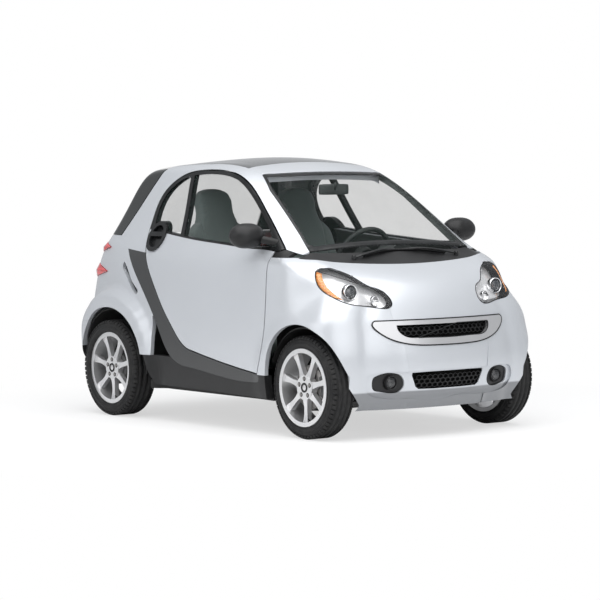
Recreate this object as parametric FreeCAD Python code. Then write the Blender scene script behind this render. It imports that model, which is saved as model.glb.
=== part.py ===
import FreeCAD, Part
import math
import os

Vector = FreeCAD.Vector

# A two-seat microcar with its engine behind the seats, left-hand drive.
# The frame: x to the car's left, y to the rear, z up, the ground at z = 0
# and the middle of the bumper-to-bumper length at y = 0. Millimetres.

# Overall sizes
LENGTH = 2695.0
WIDTH = 1559.0
HEIGHT = 1542.0
WHEELBASE = 1867.0
FRONT_OVERHANG = 409.0
FRONT_TRACK = 1283.0
REAR_TRACK = 1385.0

# Wheels and tyres
FRONT_TYRE_RADIUS = 284.0
REAR_TYRE_RADIUS = 288.0
FRONT_TYRE_WIDTH = 155.0
REAR_TYRE_WIDTH = 170.0
RIM_LIP_RADIUS = 214.0
RIM_BED_RADIUS = 190.0
RIM_LIP_WIDTH = 9.0
RIM_INSET = 12.0
TYRE_SHOULDER = 24.0
TYRE_SEAT_GAP = 0.3
SPOKE_COUNT = 7
SPOKE_ROOT_WIDTH = 56.0
SPOKE_WAIST = 27.0
SPOKE_TIP_WIDTH = 46.0
SPOKE_DEPTH = 30.0
SPOKE_DISH = 9.0
SPOKE_EDGE = 4.0
HUB_RADIUS = 68.0
HUB_DEPTH = 40.0
CAP_RADIUS = 29.0
BRAKE_DISC_RADIUS = 140.0
BRAKE_DISC_WIDTH = 18.0
BRAKE_DISC_SETBACK = 46.0
SPINDLE_RADIUS = 17.0
SPINDLE_GAP = 0.3

# Skins and seams
SKIN = 25.0
CELL_WALL = 45.0
DOOR_WALL = 85.0
DOOR_LIP = 8.0
DOOR_STEP = 12.0
FRAME_WALL = 35.0
GLASS = 5.0
GLASS_RECESS = 6.0
SEAM = 0.3
MOVING_GAP = 7.0
LID_GAP = 9.0
OVERRUN = 60.0

# Flares over the wheels
REAR_FLARE_RADIUS = 515.0
REAR_FLARE_FADE = 95.0
FRONT_FLARE_RADIUS = 450.0
FRONT_FLARE_FADE = 120.0
FRONT_FLARE = 10.0
NOSE_LEAN = 85.0
FRONT_ARCH_GAP = 10.5
REAR_ARCH_RADIUS = 366.0

# Cabin and chassis
FLOOR_LEVEL = 190.0
FLOOR_DEPTH = 50.0
SILL_LEVEL = 205.0
DECK_LEVEL = 660.0
DECK_DEPTH = 40.0
WALL_DEPTH = 40.0
FLOOR_HALF_WIDTH = 640.0
NOSE_HALF_WIDTH = 285.0
DECK_HALF_WIDTH = 520.0
AXLE_TUBE_RADIUS = 30.0
ARM_WIDTH = 60.0
FRONT_LINER_INNER = 395.0
FRONT_LINER_OUTER = 700.0
FRONT_LINER_RADIUS = 322.0
REAR_LINER_OUTER = 735.0
REAR_LINER_RADIUS = 350.0
LINER_WALL = 8.0
LINER_DROP = 20.0
LINER_WINDOW = 70.0
ARM_DEPTH = 34.0

# Engine block behind the seats
ENGINE_LENGTH = 350.0
ENGINE_WIDTH = 560.0
ENGINE_HEIGHT = 340.0

# Seats
SEAT_WIDTH = 480.0
SEAT_SPACING = 620.0
SEAT_LENGTH = 500.0
SEAT_DEPTH = 150.0
SEAT_LEVEL = 480.0
SEAT_EDGE = 32.0
SEAT_RISE = 24.0
BACK_HEIGHT = 1045.0
BACK_DEPTH = 125.0
BACK_LEAN = 13.0
HEADREST_WIDTH = 262.0
SEAT_CLEARANCE = 0.3

# Steering
KNUCKLE_RADIUS = 20.0
KINGPIN_RADIUS = 14.0
KINGPIN_HEIGHT = 190.0
STEERING_WHEEL_RADIUS = 185.0
STEERING_RIM_RADIUS = 15.0
COLUMN_RADIUS = 28.0

HALF_LENGTH = LENGTH / 2
HALF_WIDTH = WIDTH / 2
FRONT_AXLE_Y = FRONT_OVERHANG - HALF_LENGTH
REAR_AXLE_Y = FRONT_AXLE_Y + WHEELBASE

# The part of the outline whose rounded edge reaches the side windows, and the
# share of the rounding above which the side is too steep to see from the side
EDGE_ROWS = (8.0, 24.0)
STEEP_SHARE = 0.3

# The outline over the middle of the car, from the lower lip of the front
# bumper over the roof to the lower lip of the rear bumper. Each row holds
# the place along and above as shares of the half length and the height,
# the inward slant in degrees from the rearward direction, then the depth,
# reach and crown of the rounding towards the sides as shares of the half
# width, and how sharp the edge is where that rounding starts.
PROFILE_SHARES = (
    (-0.9573, 0.0940, 0, 0.192, 0.257, 0.115, 0),
    (-0.9892, 0.1686, 0, 0.192, 0.257, 0.118, 0),
    (-1.0010, 0.2594, 0, 0.192, 0.257, 0.122, 0),
    (-0.9950, 0.3243, 4, 0.199, 0.263, 0.122, 0),
    (-0.9760, 0.3891, 14, 0.218, 0.276, 0.118, 0),
    (-0.9490, 0.4475, 26, 0.212, 0.269, 0.103, 0),
    (-0.9125, 0.5010, 38, 0.192, 0.257, 0.077, 0),
    (-0.8544, 0.5500, 50, 0.160, 0.225, 0.045, 0),
    (-0.7866, 0.5855, 57, 0.135, 0.192, 0.015, 0),
    (-0.7310, 0.6096, 60, 0.122, 0.167, 0.006, 0.1),
    (-0.6679, 0.6395, 58, 0.109, 0.141, 0.013, 0.3),
    (-0.6234, 0.6667, 56, 0.103, 0.115, 0.036, 0.5),
    (-0.4453, 0.7827, 54, 0.103, 0.095, 0.024, 0.6),
    (-0.2968, 0.8765, 56, 0.103, 0.092, 0.024, 0.6),
    (-0.1417, 0.9580, 66, 0.092, 0.103, 0.027, 0.5),
    (-0.0371, 0.9854, 76, 0.082, 0.141, 0.031, 0.2),
    (0.1113, 1.0010, 88, 0.077, 0.160, 0.033, 0.1),
    (0.2968, 0.9990, 99, 0.077, 0.160, 0.031, 0.1),
    (0.4824, 0.9880, 112, 0.071, 0.141, 0.026, 0.1),
    (0.6085, 0.9760, 121, 0.064, 0.122, 0.023, 0.1),
    (0.7080, 0.9620, 128, 0.058, 0.103, 0.023, 0.2),
    (0.7718, 0.8495, 142, 0.071, 0.103, 0.031, 0.1),
    (0.8386, 0.7328, 152, 0.077, 0.109, 0.038, 0),
    (0.8831, 0.6744, 158, 0.090, 0.115, 0.046, 0),
    (0.9195, 0.6350, 164, 0.103, 0.128, 0.049, 0),
    (0.9546, 0.5512, 172, 0.122, 0.141, 0.051, 0),
    (0.9821, 0.4540, 177, 0.115, 0.141, 0.038, 0),
    (1.0020, 0.3632, 180, 0.103, 0.128, 0.026, 0),
    (0.9990, 0.2918, 180, 0.096, 0.122, 0.023, 0),
    (0.9870, 0.2270, 180, 0.096, 0.122, 0.023, 0),
    (0.9573, 0.1556, 180, 0.096, 0.122, 0.023, 0),
)
LAST_ROW = len(PROFILE_SHARES) - 1

# Half width of the body against height, then how much narrower it grows
# towards the two ends, below the belt and above it
SIDE_SHARES = (
    (0.1135, 0.9339), (0.1686, 0.9493), (0.2594, 0.9609), (0.3891, 0.9622),
    (0.4929, 0.9583), (0.5837, 0.9468), (0.6226, 0.9314), (0.6680, 0.8942),
    (0.7134, 0.8493), (0.7782, 0.7890), (0.8431, 0.7351), (0.8949, 0.6928),
    (0.9403, 0.6517), (0.9728, 0.6183), (1.0117, 0.5709),
)
LOWER_TAPER_SHARES = (
    (-1.0390, 0.0590), (-0.9276, 0.0334), (-0.8163, 0.0154), (-0.6679, 0.0026),
    (-0.4453, 0.0), (0.0, 0.0), (0.2968, 0.0), (0.4453, 0.0051), (0.5640, 0.0128),
    (0.6902, 0.0321), (0.8163, 0.0641), (0.8905, 0.0847), (1.0390, 0.1232),
)
UPPER_TAPER_SHARES = (
    (-0.8163, 0.1026), (-0.6679, 0.0718), (-0.5455, 0.0487), (-0.3904, 0.0308),
    (-0.1855, 0.0103), (0.0, 0.0), (0.2968, 0.0), (0.5195, 0.0064),
    (0.6902, 0.0205), (0.8163, 0.0487), (0.8905, 0.0770), (1.0390, 0.1411),
)
BELT_START_SHARE = 0.603
BELT_FADE_SHARE = 0.084

SILL_BOTTOM_SHARES = ((0.337, 0.140), (0.0, 0.138), (-0.475, 0.132))
SILL_Y = (-0.60, 0.52, 30)
SILL_Z = (0.10, 0.40, 14)
SILL_WALL = 50.0
COWL_RECESS = 6.0
COWL_WALL = 22.0
FOOT_STRIP_HEIGHT = 16.0
ROOF_WALL = 40.0
WINDOW_WALL = 25.0
TAILGATE_WALL = 60.0
SLOT_DEPTH_SHARE = 0.6
SURROUND_PROUD = 4.0
MESH_RECESS = 16.0
MESH_WALL = 9.0
LAMP_WALL = 45.0
SCOOP_DEPTH = 9.0
SCOOP_ROWS = (0.45, 2.3)
SCOOP_RISE_SHARE = 0.28
POD_RECESS = 17.0
FOG_LAMP_RADIUS = 40.0
FOG_LAMP_DEPTH = 45.0
FOG_LAMP_FACE_SHARE = 0.958
ARCH_INNER_SHARE = 0.53
FRONT_ARCH_INNER_SHARE = 0.80
TYRE_ROOM = 8.0
HINGE_SHARES = (0.916, -0.523)
HINGE_LEVEL_SHARES = (0.485, 0.575)
HINGE_HEIGHT = 40.0
HINGE_RADIUS = 13.0
HINGE_PIN_RADIUS = 6.0
HINGE_GAP = 0.3
HINGE_PLAY = 0.3
HINGE_EAR = 14.0
HINGE_EAR_REACH = 30.0
HINGE_HOOK = 62.0
HINGE_ROOT_LENGTH = 30.0
HINGE_ROOT_WIDTH = 40.0
HINGE_SWING = 36.0
HINGE_SKIN = 7.0
HINGE_POCKET_RISE = 52.0
HINGE_BAR = 10.0
HINGE_REACH = 105.0
HINGE_CLEARANCE = 6.0
REAR_CORNER_SHARE = 0.86
REAR_WINDOW_LOW_SHARES = (0.672, 0.702)
TAILGATE_SHARE = 0.64
TAILGATE_LOW_SHARE = 0.366
BUMPER_TOP_SHARE = 0.363
VALANCE_SHARE = 0.262
TAIL_LAMP_SPACE_SHARE = 0.03
TAIL_LAMP_HIGH_SHARES = (
    (0.761, 0.654), (1.03, 0.602), (1.03, 0.690), (0.87, 0.684),
)
TAIL_LAMP_LOW_SHARES = (
    (0.767, 0.559), (1.03, 0.512), (1.03, 0.604), (0.89, 0.594),
)
SLOT_SHARES = (
    (0.614, 0.600), (0.621, 0.590), (0.583, 0.545), (0.530, 0.496), (0.493, 0.480),
    (0.484, 0.486), (0.510, 0.513), (0.560, 0.558), (0.602, 0.597),
)
DASH_WALL_SHARE = -0.475
TAIL_BEAM_LEVEL = 400.0
DASH_TOP_SHARE = 0.605
DASH_LENGTH = 230.0
DASH_DEPTH = 190.0
DASH_HALF_WIDTH = 600.0
DIAL_HOOD_RADIUS = 105.0
DIAL_HOOD_LENGTH = 130.0
BULKHEAD_SHARE = 0.371
NOSE_BEAM_SHARE = -0.93
NOSE_TOP_SHARE = 0.50
TAIL_BEAM_SHARE = 0.885
TAIL_HALF_WIDTH = 480.0
TAIL_BEAM_DEPTH = 100.0
RAIL_HALF_WIDTH = 300.0
RAIL_LEVEL = 240.0
RAIL_DEPTH = 60.0
SEAT_BACK_SHARE = 0.160
BACK_TOP_SHARE = 0.35
HEADREST_SHARE = 0.8
BACK_FRONT_SHARES = (
    (0.40, 0.0), (0.47, 0.10), (0.49, 0.35), (0.485, 0.58), (0.425, 0.71),
    (0.30, 0.78), (0.49, 0.84), (0.48, 0.91), (0.39, 0.965), (0.21, 0.993), (0.0, 1.0),
)
COLUMN_LENGTH = 200.0
WHEEL_RISE = 12.0
WHEEL_SPOKE_WIDTH = 44.0
WHEEL_SPOKE_DEPTH = 14.0
COLUMN_TILT = 25.0
HUB_FACE = 25.0
RIM_WALL = 10.0
FRONT_RIM_HALF = 76.0
REAR_RIM_HALF = 70.0

# Outlines seen from the side, as shares of the half length and the height
DOOR_FRONT_SHARES = (
    (-0.419, 0.217), (-0.438, 0.259), (-0.460, 0.324), (-0.476, 0.415),
    (-0.483, 0.506), (-0.482, 0.584), (-0.479, 0.655),
)
DOOR_SAIL_SHARES = ((-0.479, 0.655), (-0.531, 0.668))
DOOR_TOP_SHARES = (
    (-0.531, 0.668), (-0.417, 0.741), (-0.289, 0.822), (-0.167, 0.893),
    (-0.052, 0.936), (0.052, 0.952), (0.155, 0.956), (0.256, 0.953),
    (0.340, 0.941), (0.414, 0.912), (0.466, 0.872), (0.489, 0.830),
    (0.491, 0.765), (0.479, 0.700), (0.454, 0.649), (0.409, 0.584),
    (0.348, 0.510), (0.275, 0.425), (0.200, 0.355), (0.150, 0.313),
    (0.082, 0.283),
)
DOOR_LOW_SHARES = ((0.082, 0.283), (-0.219, 0.239), (-0.419, 0.217))
BELT_SHARES = (
    (-0.560, 0.640), (-0.478, 0.6595), (-0.300, 0.668), (-0.158, 0.677),
    (0.074, 0.691), (0.311, 0.711), (0.445, 0.724), (0.560, 0.736),
)
WINDOW_TOP_SHARES = (
    (-0.470, 0.680), (-0.393, 0.732), (-0.282, 0.804), (-0.167, 0.872),
    (-0.059, 0.916), (0.052, 0.934), (0.155, 0.938), (0.256, 0.935),
    (0.330, 0.925), (0.401, 0.896), (0.445, 0.859), (0.464, 0.820),
    (0.462, 0.765), (0.446, 0.733),
)
WINDOW_LOW_SHARES = (
    (0.446, 0.733), (0.311, 0.718), (0.074, 0.698), (-0.158, 0.684), (-0.393, 0.676),
    (-0.470, 0.680),
)
DIVIDER_SHARES = ((0.296, 0.960), (0.206, 0.690))
DIVIDER_WIDTH = 34.0
BAND_REAR_SHARES = (
    (0.603, 0.652), (0.499, 0.551), (0.406, 0.460), (0.312, 0.350),
    (0.252, 0.276), (0.215, 0.248), (0.178, 0.232), (0.128, 0.221),
)
BAND_LOW_SHARES = ((0.128, 0.221), (-0.085, 0.202), (-0.338, 0.186), (-0.419, 0.190))
BAND_NOSE_SHARES = ((-0.419, 0.190), (-0.432, 0.206), (-0.419, 0.217))
BAND_TOP_SHARES = ((0.454, 0.640), (0.603, 0.652))
SILL_TAIL_SHARES = ((0.405, 0.2516), (0.337, 0.140))
WRAP_SHARES = ((0.512, 0.985), (0.586, 0.875), (0.653, 0.781), (0.709, 0.701))
CELL_TAIL_SHARES = ((0.709, 0.701), (0.603, 0.652))
FRONT_ARCH_SHARES = (
    (-0.919, 0.060), (-0.917, 0.240), (-0.899, 0.302), (-0.853, 0.360), (-0.779, 0.397),
    (-0.701, 0.409), (-0.623, 0.399), (-0.549, 0.363), (-0.499, 0.305), (-0.479, 0.240),
    (-0.479, 0.060),
)

# Outlines seen from the front, as shares of the half width and the height
LAMP_SHARES = (
    (0.757, 0.605), (0.825, 0.592), (0.847, 0.562), (0.829, 0.520), (0.783, 0.494),
    (0.691, 0.477), (0.549, 0.467), (0.441, 0.4625), (0.403, 0.474), (0.413, 0.512),
    (0.462, 0.532), (0.508, 0.540), (0.554, 0.558), (0.597, 0.578), (0.665, 0.597),
    (0.715, 0.606),
)
GRILLE_SHARES = (
    (0.574, 0.420), (0.593, 0.410), (0.552, 0.379), (0.454, 0.351), (0.321, 0.335),
    (0.167, 0.330), (0.0, 0.329),
)
MESH_SHARES = (
    (0.417, 0.403), (0.410, 0.383), (0.366, 0.364), (0.257, 0.357), (0.0, 0.355),
)
LOWER_GRILLE_SHARES = (
    (0.0, 0.174), (0.140, 0.174), (0.262, 0.175), (0.288, 0.184), (0.324, 0.225),
    (0.320, 0.2345), (0.160, 0.236), (0.0, 0.236),
)
FOG_POD_SHARES = (
    (0.600, 0.226), (0.570, 0.2325), (0.440, 0.234), (0.412, 0.228), (0.384, 0.184),
    (0.398, 0.175), (0.560, 0.172), (0.600, 0.178), (0.616, 0.202),
)
FOG_LAMP_SHARES = (0.480, 0.203)
SCOOP_SHARES = (
    (0.0, 0.140), (0.300, 0.142), (0.560, 0.150), (0.650, 0.170), (0.672, 0.200),
    (0.650, 0.230), (0.600, 0.2385), (0.400, 0.2400), (0.0, 0.2410),
)
NOSE_SEAM_SHARES = ((0.396, 0.335), (0.360, 0.239), (0.345, 0.080))
HOOD_SIDE_SHARES = (
    (0.430, 0.420), (0.434, 0.464), (0.600, 0.560), (0.771, 0.600), (0.775, 0.700),
)

# Outlines seen from above, as shares of the half width and the half length
COWL_SHARES = (
    (0.0, -0.731), (0.257, -0.724), (0.513, -0.705), (0.667, -0.684),
    (0.770, -0.657), (0.834, -0.620), (0.842, -0.606),
)
SCREEN_SIDE_SHARES = (
    (0.731, -0.606), (0.699, -0.519), (0.667, -0.408), (0.622, -0.252), (0.551, -0.137),
)
SCREEN_TOP_SHARES = ((0.551, -0.137), (0.30, -0.152), (0.0, -0.158))
SCREEN_BASE_SHARES = ((0.731, -0.606), (0.40, -0.632), (0.0, -0.640))
ROOF_SIDE_SHARE = 0.553
ROOF_FRONT_SHARE = -0.045
ROOF_REAR_SHARE = 0.512


def natural_spline(pairs):
    """Smooth curve through pairs of (place, value), returned as a function."""
    n = len(pairs)
    xs = [p[0] for p in pairs]
    ys = [p[1] for p in pairs]
    bend = [0.0] * n
    work = [0.0] * n
    for i in range(1, n - 1):
        before = xs[i] - xs[i - 1]
        span = xs[i + 1] - xs[i - 1]
        ratio = before / span
        pivot = ratio * bend[i - 1] + 2
        bend[i] = (ratio - 1) / pivot
        rise = (ys[i + 1] - ys[i]) / (xs[i + 1] - xs[i]) - (ys[i] - ys[i - 1]) / before
        work[i] = (6 * rise / span - ratio * work[i - 1]) / pivot
    for i in range(n - 2, -1, -1):
        bend[i] = bend[i] * bend[i + 1] + work[i]

    def value(x):
        x = min(max(x, xs[0]), xs[-1])
        k = 0
        while k < n - 2 and x > xs[k + 1]:
            k += 1
        h = xs[k + 1] - xs[k]
        a = (xs[k + 1] - x) / h
        b = 1 - a
        curve = (a ** 3 - a) * bend[k] + (b ** 3 - b) * bend[k + 1]
        return a * ys[k] + b * ys[k + 1] + curve * h * h / 6

    return value


side_share = natural_spline(SIDE_SHARES)
lower_taper_share = natural_spline(LOWER_TAPER_SHARES)
upper_taper_share = natural_spline(UPPER_TAPER_SHARES)


def ease(share):
    """A soft step from 0 to 1."""
    t = max(0.0, min(1.0, share))
    return t * t * t * (t * (6 * t - 15) + 10)


def profile(row):
    """Place, slant and rounding of the middle outline at a row of the table."""
    row = min(max(row, 0.0), float(LAST_ROW))
    k = min(int(row), LAST_ROW - 1)
    t = row - k
    weights = (
        (1 - t) ** 3 / 6,
        (3 * t ** 3 - 6 * t * t + 4) / 6,
        (3 * t * (1 + t - t * t) + 1) / 6,
        t ** 3 / 6,
    )
    rows = [PROFILE_SHARES[min(max(k + i, 0), LAST_ROW)] for i in (-1, 0, 1, 2)]
    shares = [sum(w * r[c] for w, r in zip(weights, rows)) for c in range(7)]
    along, above, slant, depth, reach, crown, crease = shares
    return (
        along * HALF_LENGTH, above * HEIGHT, math.radians(slant),
        depth * HALF_WIDTH, reach * HALF_WIDTH, crown * HALF_WIDTH, crease,
    )


def half_width(y, z):
    """Half width of the body at a place along and above, with the flares."""
    above = z / HEIGHT
    along = y / HALF_LENGTH
    belt = ease((above - BELT_START_SHARE) / BELT_FADE_SHARE)
    taper = lower_taper_share(along) * (1 - belt) + upper_taper_share(along) * belt
    width = (side_share(above) - taper) * HALF_WIDTH
    lean = ease((above - 0.389) / 0.156) * ease((-along - 0.594) / 0.223)
    width -= NOSE_LEAN * lean * (1 - 0.75 * belt)
    front = math.hypot(y - FRONT_AXLE_Y, z - FRONT_TYRE_RADIUS)
    width += FRONT_FLARE * ease((FRONT_FLARE_RADIUS - front) / FRONT_FLARE_FADE)
    rear = math.hypot(y - REAR_AXLE_Y, z - REAR_TYRE_RADIUS)
    flare = ease((REAR_FLARE_RADIUS - rear) / REAR_FLARE_FADE)
    limit = HALF_WIDTH * (1 - 0.045 * ease((along - 0.74) / 0.26))
    return width + (limit - width) * flare


def rounding(depth_share, crease):
    """How far across the rounded edge is at a share of its depth."""
    if abs(1 - 2 * crease) < 1e-9:
        q = depth_share
    else:
        root = math.sqrt(crease * crease + (1 - 2 * crease) * depth_share)
        q = (root - crease) / (1 - 2 * crease)
    return 2 * q - q * q


def skin_point(row, lateral, inset=0.0, far=None):
    """A point of the body skin.

    lateral runs 0 to 1 over the flat middle, 1 to 2 round the edge and 2 to 3
    down the side to the place far (y, z). inset moves the skin inwards.
    """
    y, z, slant, depth, reach, crown, crease = profile(row)
    cos = math.cos(slant)
    sin = math.sin(slant)
    t = abs(lateral)
    hand = -1 if lateral < 0 else 1
    if t <= 1:
        edge = half_width(y + crown * cos, z - crown * sin) - inset - reach
        inward = inset + crown * t * t
        return Vector(hand * edge * t, y + inward * cos, z - inward * sin)
    q = min(t - 1, 1.0)
    inward = crown + depth * (2 * (1 - q) * q * crease + q * q)
    width = half_width(y + inward * cos, z - inward * sin) - reach * (1 - q) ** 2
    y += (inward + inset) * cos
    z -= (inward + inset) * sin
    if t > 2:
        y += (far[0] - y) * (t - 2)
        z += (far[1] - z) * (t - 2)
        width = half_width(y, z)
    return Vector(hand * (width - inset), y, z)


def edge_place(y, z):
    """Row of the profile above a side point, and its depth below the skin."""

    def off(row):
        py, pz, slant = profile(row)[:3]
        cos = math.cos(slant)
        sin = math.sin(slant)
        return cos * (pz - z) - sin * (y - py), cos * (y - py) + sin * (pz - z)

    best = None
    row = EDGE_ROWS[0]
    across = off(row)[0]
    while row < EDGE_ROWS[1]:
        after = off(row + 0.5)[0]
        if (after > 0) != (across > 0):
            low, high = row, row + 0.5
            for _ in range(24):
                middle = (low + high) / 2
                if (off(middle)[0] > 0) == (across > 0):
                    low = middle
                else:
                    high = middle
            deep = off(low)[1]
            if best is None or deep < best[1]:
                best = (low, deep)
        row += 0.5
        across = after
    return best


def side_width(y, z):
    """Half width of the skin at a side point, rounded off near the roof."""
    width = half_width(y, z)
    found = edge_place(y, z)
    if found is None:
        return width
    row, deep = found
    depth, reach, crown, crease = profile(row)[3:]
    share = (deep - crown) / depth
    if share >= 1:
        return width
    if share < STEEP_SHARE:
        low = rounding(STEEP_SHARE, crease)
        slope = (rounding(STEEP_SHARE + 0.01, crease) - low) / 0.01
        across = low + slope * (share - STEEP_SHARE)
    else:
        across = rounding(share, crease)
    return width - reach * (1 - across)


def surface_of(grid):
    """Smooth surface through a grid of points."""
    surface = Part.BSplineSurface()
    surface.interpolate(grid)
    return surface


def slab(outer, inner):
    """Closed solid between two grids of points."""
    top = surface_of(outer)
    low = surface_of(inner)
    u0, u1, v0, v1 = top.bounds()
    faces = [top.toShape(), low.toShape()]
    pairs = (
        (top.uIso(u0), low.uIso(u0)), (top.uIso(u1), low.uIso(u1)),
        (top.vIso(v0), low.vIso(v0)), (top.vIso(v1), low.vIso(v1)),
    )
    for a, b in pairs:
        faces.append(Part.makeRuledSurface(a.toShape(), b.toShape()))
    shell = Part.makeShell(faces)
    shell.sewShape()
    solid = Part.makeSolid(shell)
    if solid.Volume < 0:
        solid.reverse()
    return solid


def spread(low, high, count):
    """Evenly spaced values from low to high."""
    return [low + (high - low) * i / (count - 1) for i in range(count)]


def skin_slab(rows, laterals, inset, wall, far_of=None):
    """Slab of the body skin over a range of rows and laterals."""
    grids = []
    for depth in (inset, inset + wall):
        grid = []
        for row in rows:
            far = far_of(row) if far_of else None
            grid.append([skin_point(row, t, depth, far) for t in laterals])
        grids.append(grid)
    return slab(grids[0], grids[1])


def front_far(row):
    """Where the rows of the nose end, at the door's front edge."""
    share = row / 11.0
    return (-0.415 * HALF_LENGTH, (0.100 + 0.570 * share) * HEIGHT)


def rear_far(row):
    """Where the rows of the tail end, ahead of the rear wheel."""
    share = (LAST_ROW - row) / (LAST_ROW - 22.0)
    return (0.10 * HALF_LENGTH, (0.12 + 0.59 * share) * HEIGHT)


def roof_far(row):
    """Where the rows of the roof end, inside the side windows."""
    return (0.72 * profile(row)[0] - 0.02 * HALF_LENGTH, 0.625 * HEIGHT)


SIDE_CACHE = {}


def side_grid(y_shares, z_shares):
    """Half widths over a grid of side places, worked out once."""
    key = (y_shares, z_shares)
    if key not in SIDE_CACHE:
        ys = [s * HALF_LENGTH for s in spread(y_shares[0], y_shares[1], y_shares[2])]
        zs = [s * HEIGHT for s in spread(z_shares[0], z_shares[1], z_shares[2])]
        SIDE_CACHE[key] = [[(side_width(y, z), y, z) for z in zs] for y in ys]
    return SIDE_CACHE[key]


def side_slab(y_shares, z_shares, inset, wall, hand):
    """Slab of the side skin over a rectangle of side places."""
    places = side_grid(y_shares, z_shares)
    outer = [[Vector(hand * (w - inset), y, z) for w, y, z in line] for line in places]
    inner = [[Vector(hand * (w - inset - wall), y, z) for w, y, z in line] for line in places]
    return slab(outer, inner)


def side_places(shares):
    """Side outline points (y, z) in millimetres."""
    return [(a * HALF_LENGTH, b * HEIGHT) for a, b in shares]


def front_places(shares, hand=1):
    """Front outline points (x, z) in millimetres."""
    return [(hand * a * HALF_WIDTH, b * HEIGHT) for a, b in shares]


def plan_places(shares, hand=1):
    """Plan outline points (x, y) in millimetres."""
    return [(hand * a * HALF_WIDTH, b * HALF_LENGTH) for a, b in shares]


def run_edge(points):
    """One edge: a line through two points or a smooth curve through more."""
    if len(points) == 2:
        return Part.LineSegment(points[0], points[1]).toShape()
    curve = Part.BSplineCurve()
    curve.interpolate(points)
    return curve.toShape()


def prism(runs, look, start, end):
    """Solid of an outline pushed along an axis from start to end.

    runs are lists of flat points that meet end to end. look is the axis, x for
    a side view, y for a front view and z for a plan.
    """
    place = {
        "x": lambda p: Vector(start, p[0], p[1]),
        "y": lambda p: Vector(p[0], start, p[1]),
        "z": lambda p: Vector(p[0], p[1], start),
    }[look]
    travel = {"x": Vector(1, 0, 0), "y": Vector(0, 1, 0), "z": Vector(0, 0, 1)}[look]
    edges = [run_edge([place(p) for p in run]) for run in runs if span(run) > 1e-6]
    face = Part.Face(Part.Wire(edges))
    solid = face.extrude(travel * (end - start))
    if solid.Volume < 0:
        solid.reverse()
    return solid


def polygon(points):
    """Runs of straight lines round a closed outline."""
    return [[points[i], points[(i + 1) % len(points)]] for i in range(len(points))]


def moved_outline(points, offset):
    """Points of an open outline moved to its left by a distance."""
    moved = []
    last = len(points) - 1
    for i, (a, b) in enumerate(points):
        before = points[max(i - 1, 0)]
        after = points[min(i + 1, last)]
        dx = after[0] - before[0]
        dy = after[1] - before[1]
        size = math.hypot(dx, dy)
        moved.append((a - dy / size * offset, b + dx / size * offset))
    return moved


def span(run):
    """Length of the chords of a run."""
    return sum(math.hypot(b[0] - a[0], b[1] - a[1]) for a, b in zip(run, run[1:]))


def crossing(first, second):
    """Where the end of one outline crosses the start of the next."""
    for i in range(len(first) - 2, -1, -1):
        ax, ay = first[i]
        bx, by = first[i + 1]
        for j in range(len(second) - 1):
            cx, cy = second[j]
            dx, dy = second[j + 1]
            bottom = (bx - ax) * (dy - cy) - (by - ay) * (dx - cx)
            if abs(bottom) < 1e-9:
                continue
            s = ((cx - ax) * (dy - cy) - (cy - ay) * (dx - cx)) / bottom
            t = ((cx - ax) * (by - ay) - (cy - ay) * (bx - ax)) / bottom
            if 0 <= s <= 1 and 0 <= t <= 1:
                return i, j, (ax + s * (bx - ax), ay + s * (by - ay))
    return None


def grown(runs, offset):
    """Closed outline grown by a distance, its corners trimmed or bridged."""
    if offset == 0:
        return [list(run) for run in runs]
    ring = [p for run in runs for p in run[:-1]]
    area = sum(a[0] * b[1] - b[0] * a[1] for a, b in zip(ring, ring[1:] + ring[:1]))
    side = offset if area < 0 else -offset
    moved = [moved_outline(run, side) for run in runs if span(run) > 1e-6]
    for i in range(len(moved)):
        after = (i + 1) % len(moved)
        met = crossing(moved[i], moved[after])
        if met:
            keep, skip, point = met
            moved[i] = moved[i][:keep + 1] + [point]
            moved[after] = [point] + moved[after][skip + 1:]
    result = []
    for i, run in enumerate(moved):
        result.append(run)
        start = moved[(i + 1) % len(moved)][0]
        if math.hypot(run[-1][0] - start[0], run[-1][1] - start[1]) > 1e-6:
            result.append([run[-1], start])
    return result


def box(x0, x1, y0, y1, z0, z1):
    """Box between two corners."""
    return Part.makeBox(x1 - x0, y1 - y0, z1 - z0, Vector(x0, y0, z0))


def rod(radius, start, end):
    """Round bar between two points."""
    run = end - start
    return Part.makeCylinder(radius, run.Length, start, run)


def outboard(hand, runs, inner_share=0.40):
    """Side outline as a prism on one side of the car only."""
    inner = hand * inner_share * HALF_WIDTH
    outer = hand * (HALF_WIDTH + OVERRUN)
    return prism(runs, "x", min(inner, outer), max(inner, outer))


def joined(shapes):
    """Shapes fused to one solid."""
    result = shapes[0]
    for shape in shapes[1:]:
        result = result.fuse(shape)
    return result.removeSplitter()


def without(shape, cutters):
    """A shape with others cut from it."""
    for cutter in cutters:
        shape = shape.cut(cutter)
    return shape


def solids_over(shape, volume):
    """The solids of a shape that are larger than a chip."""
    return [s for s in shape.Solids if s.Volume > volume]


def biggest(shape):
    """The largest solid of a shape."""
    return max(shape.Solids, key=lambda s: s.Volume)


# Door hinges


def hinge_axis(hand):
    """Foot of the door's hinge axis, on the ground."""
    return Vector(hand * HINGE_SHARES[0] * HALF_WIDTH, HINGE_SHARES[1] * HALF_LENGTH, 0)


def hinge_levels():
    """Middle heights of the two hinges of a door."""
    return [share * HEIGHT for share in HINGE_LEVEL_SHARES]


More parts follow.
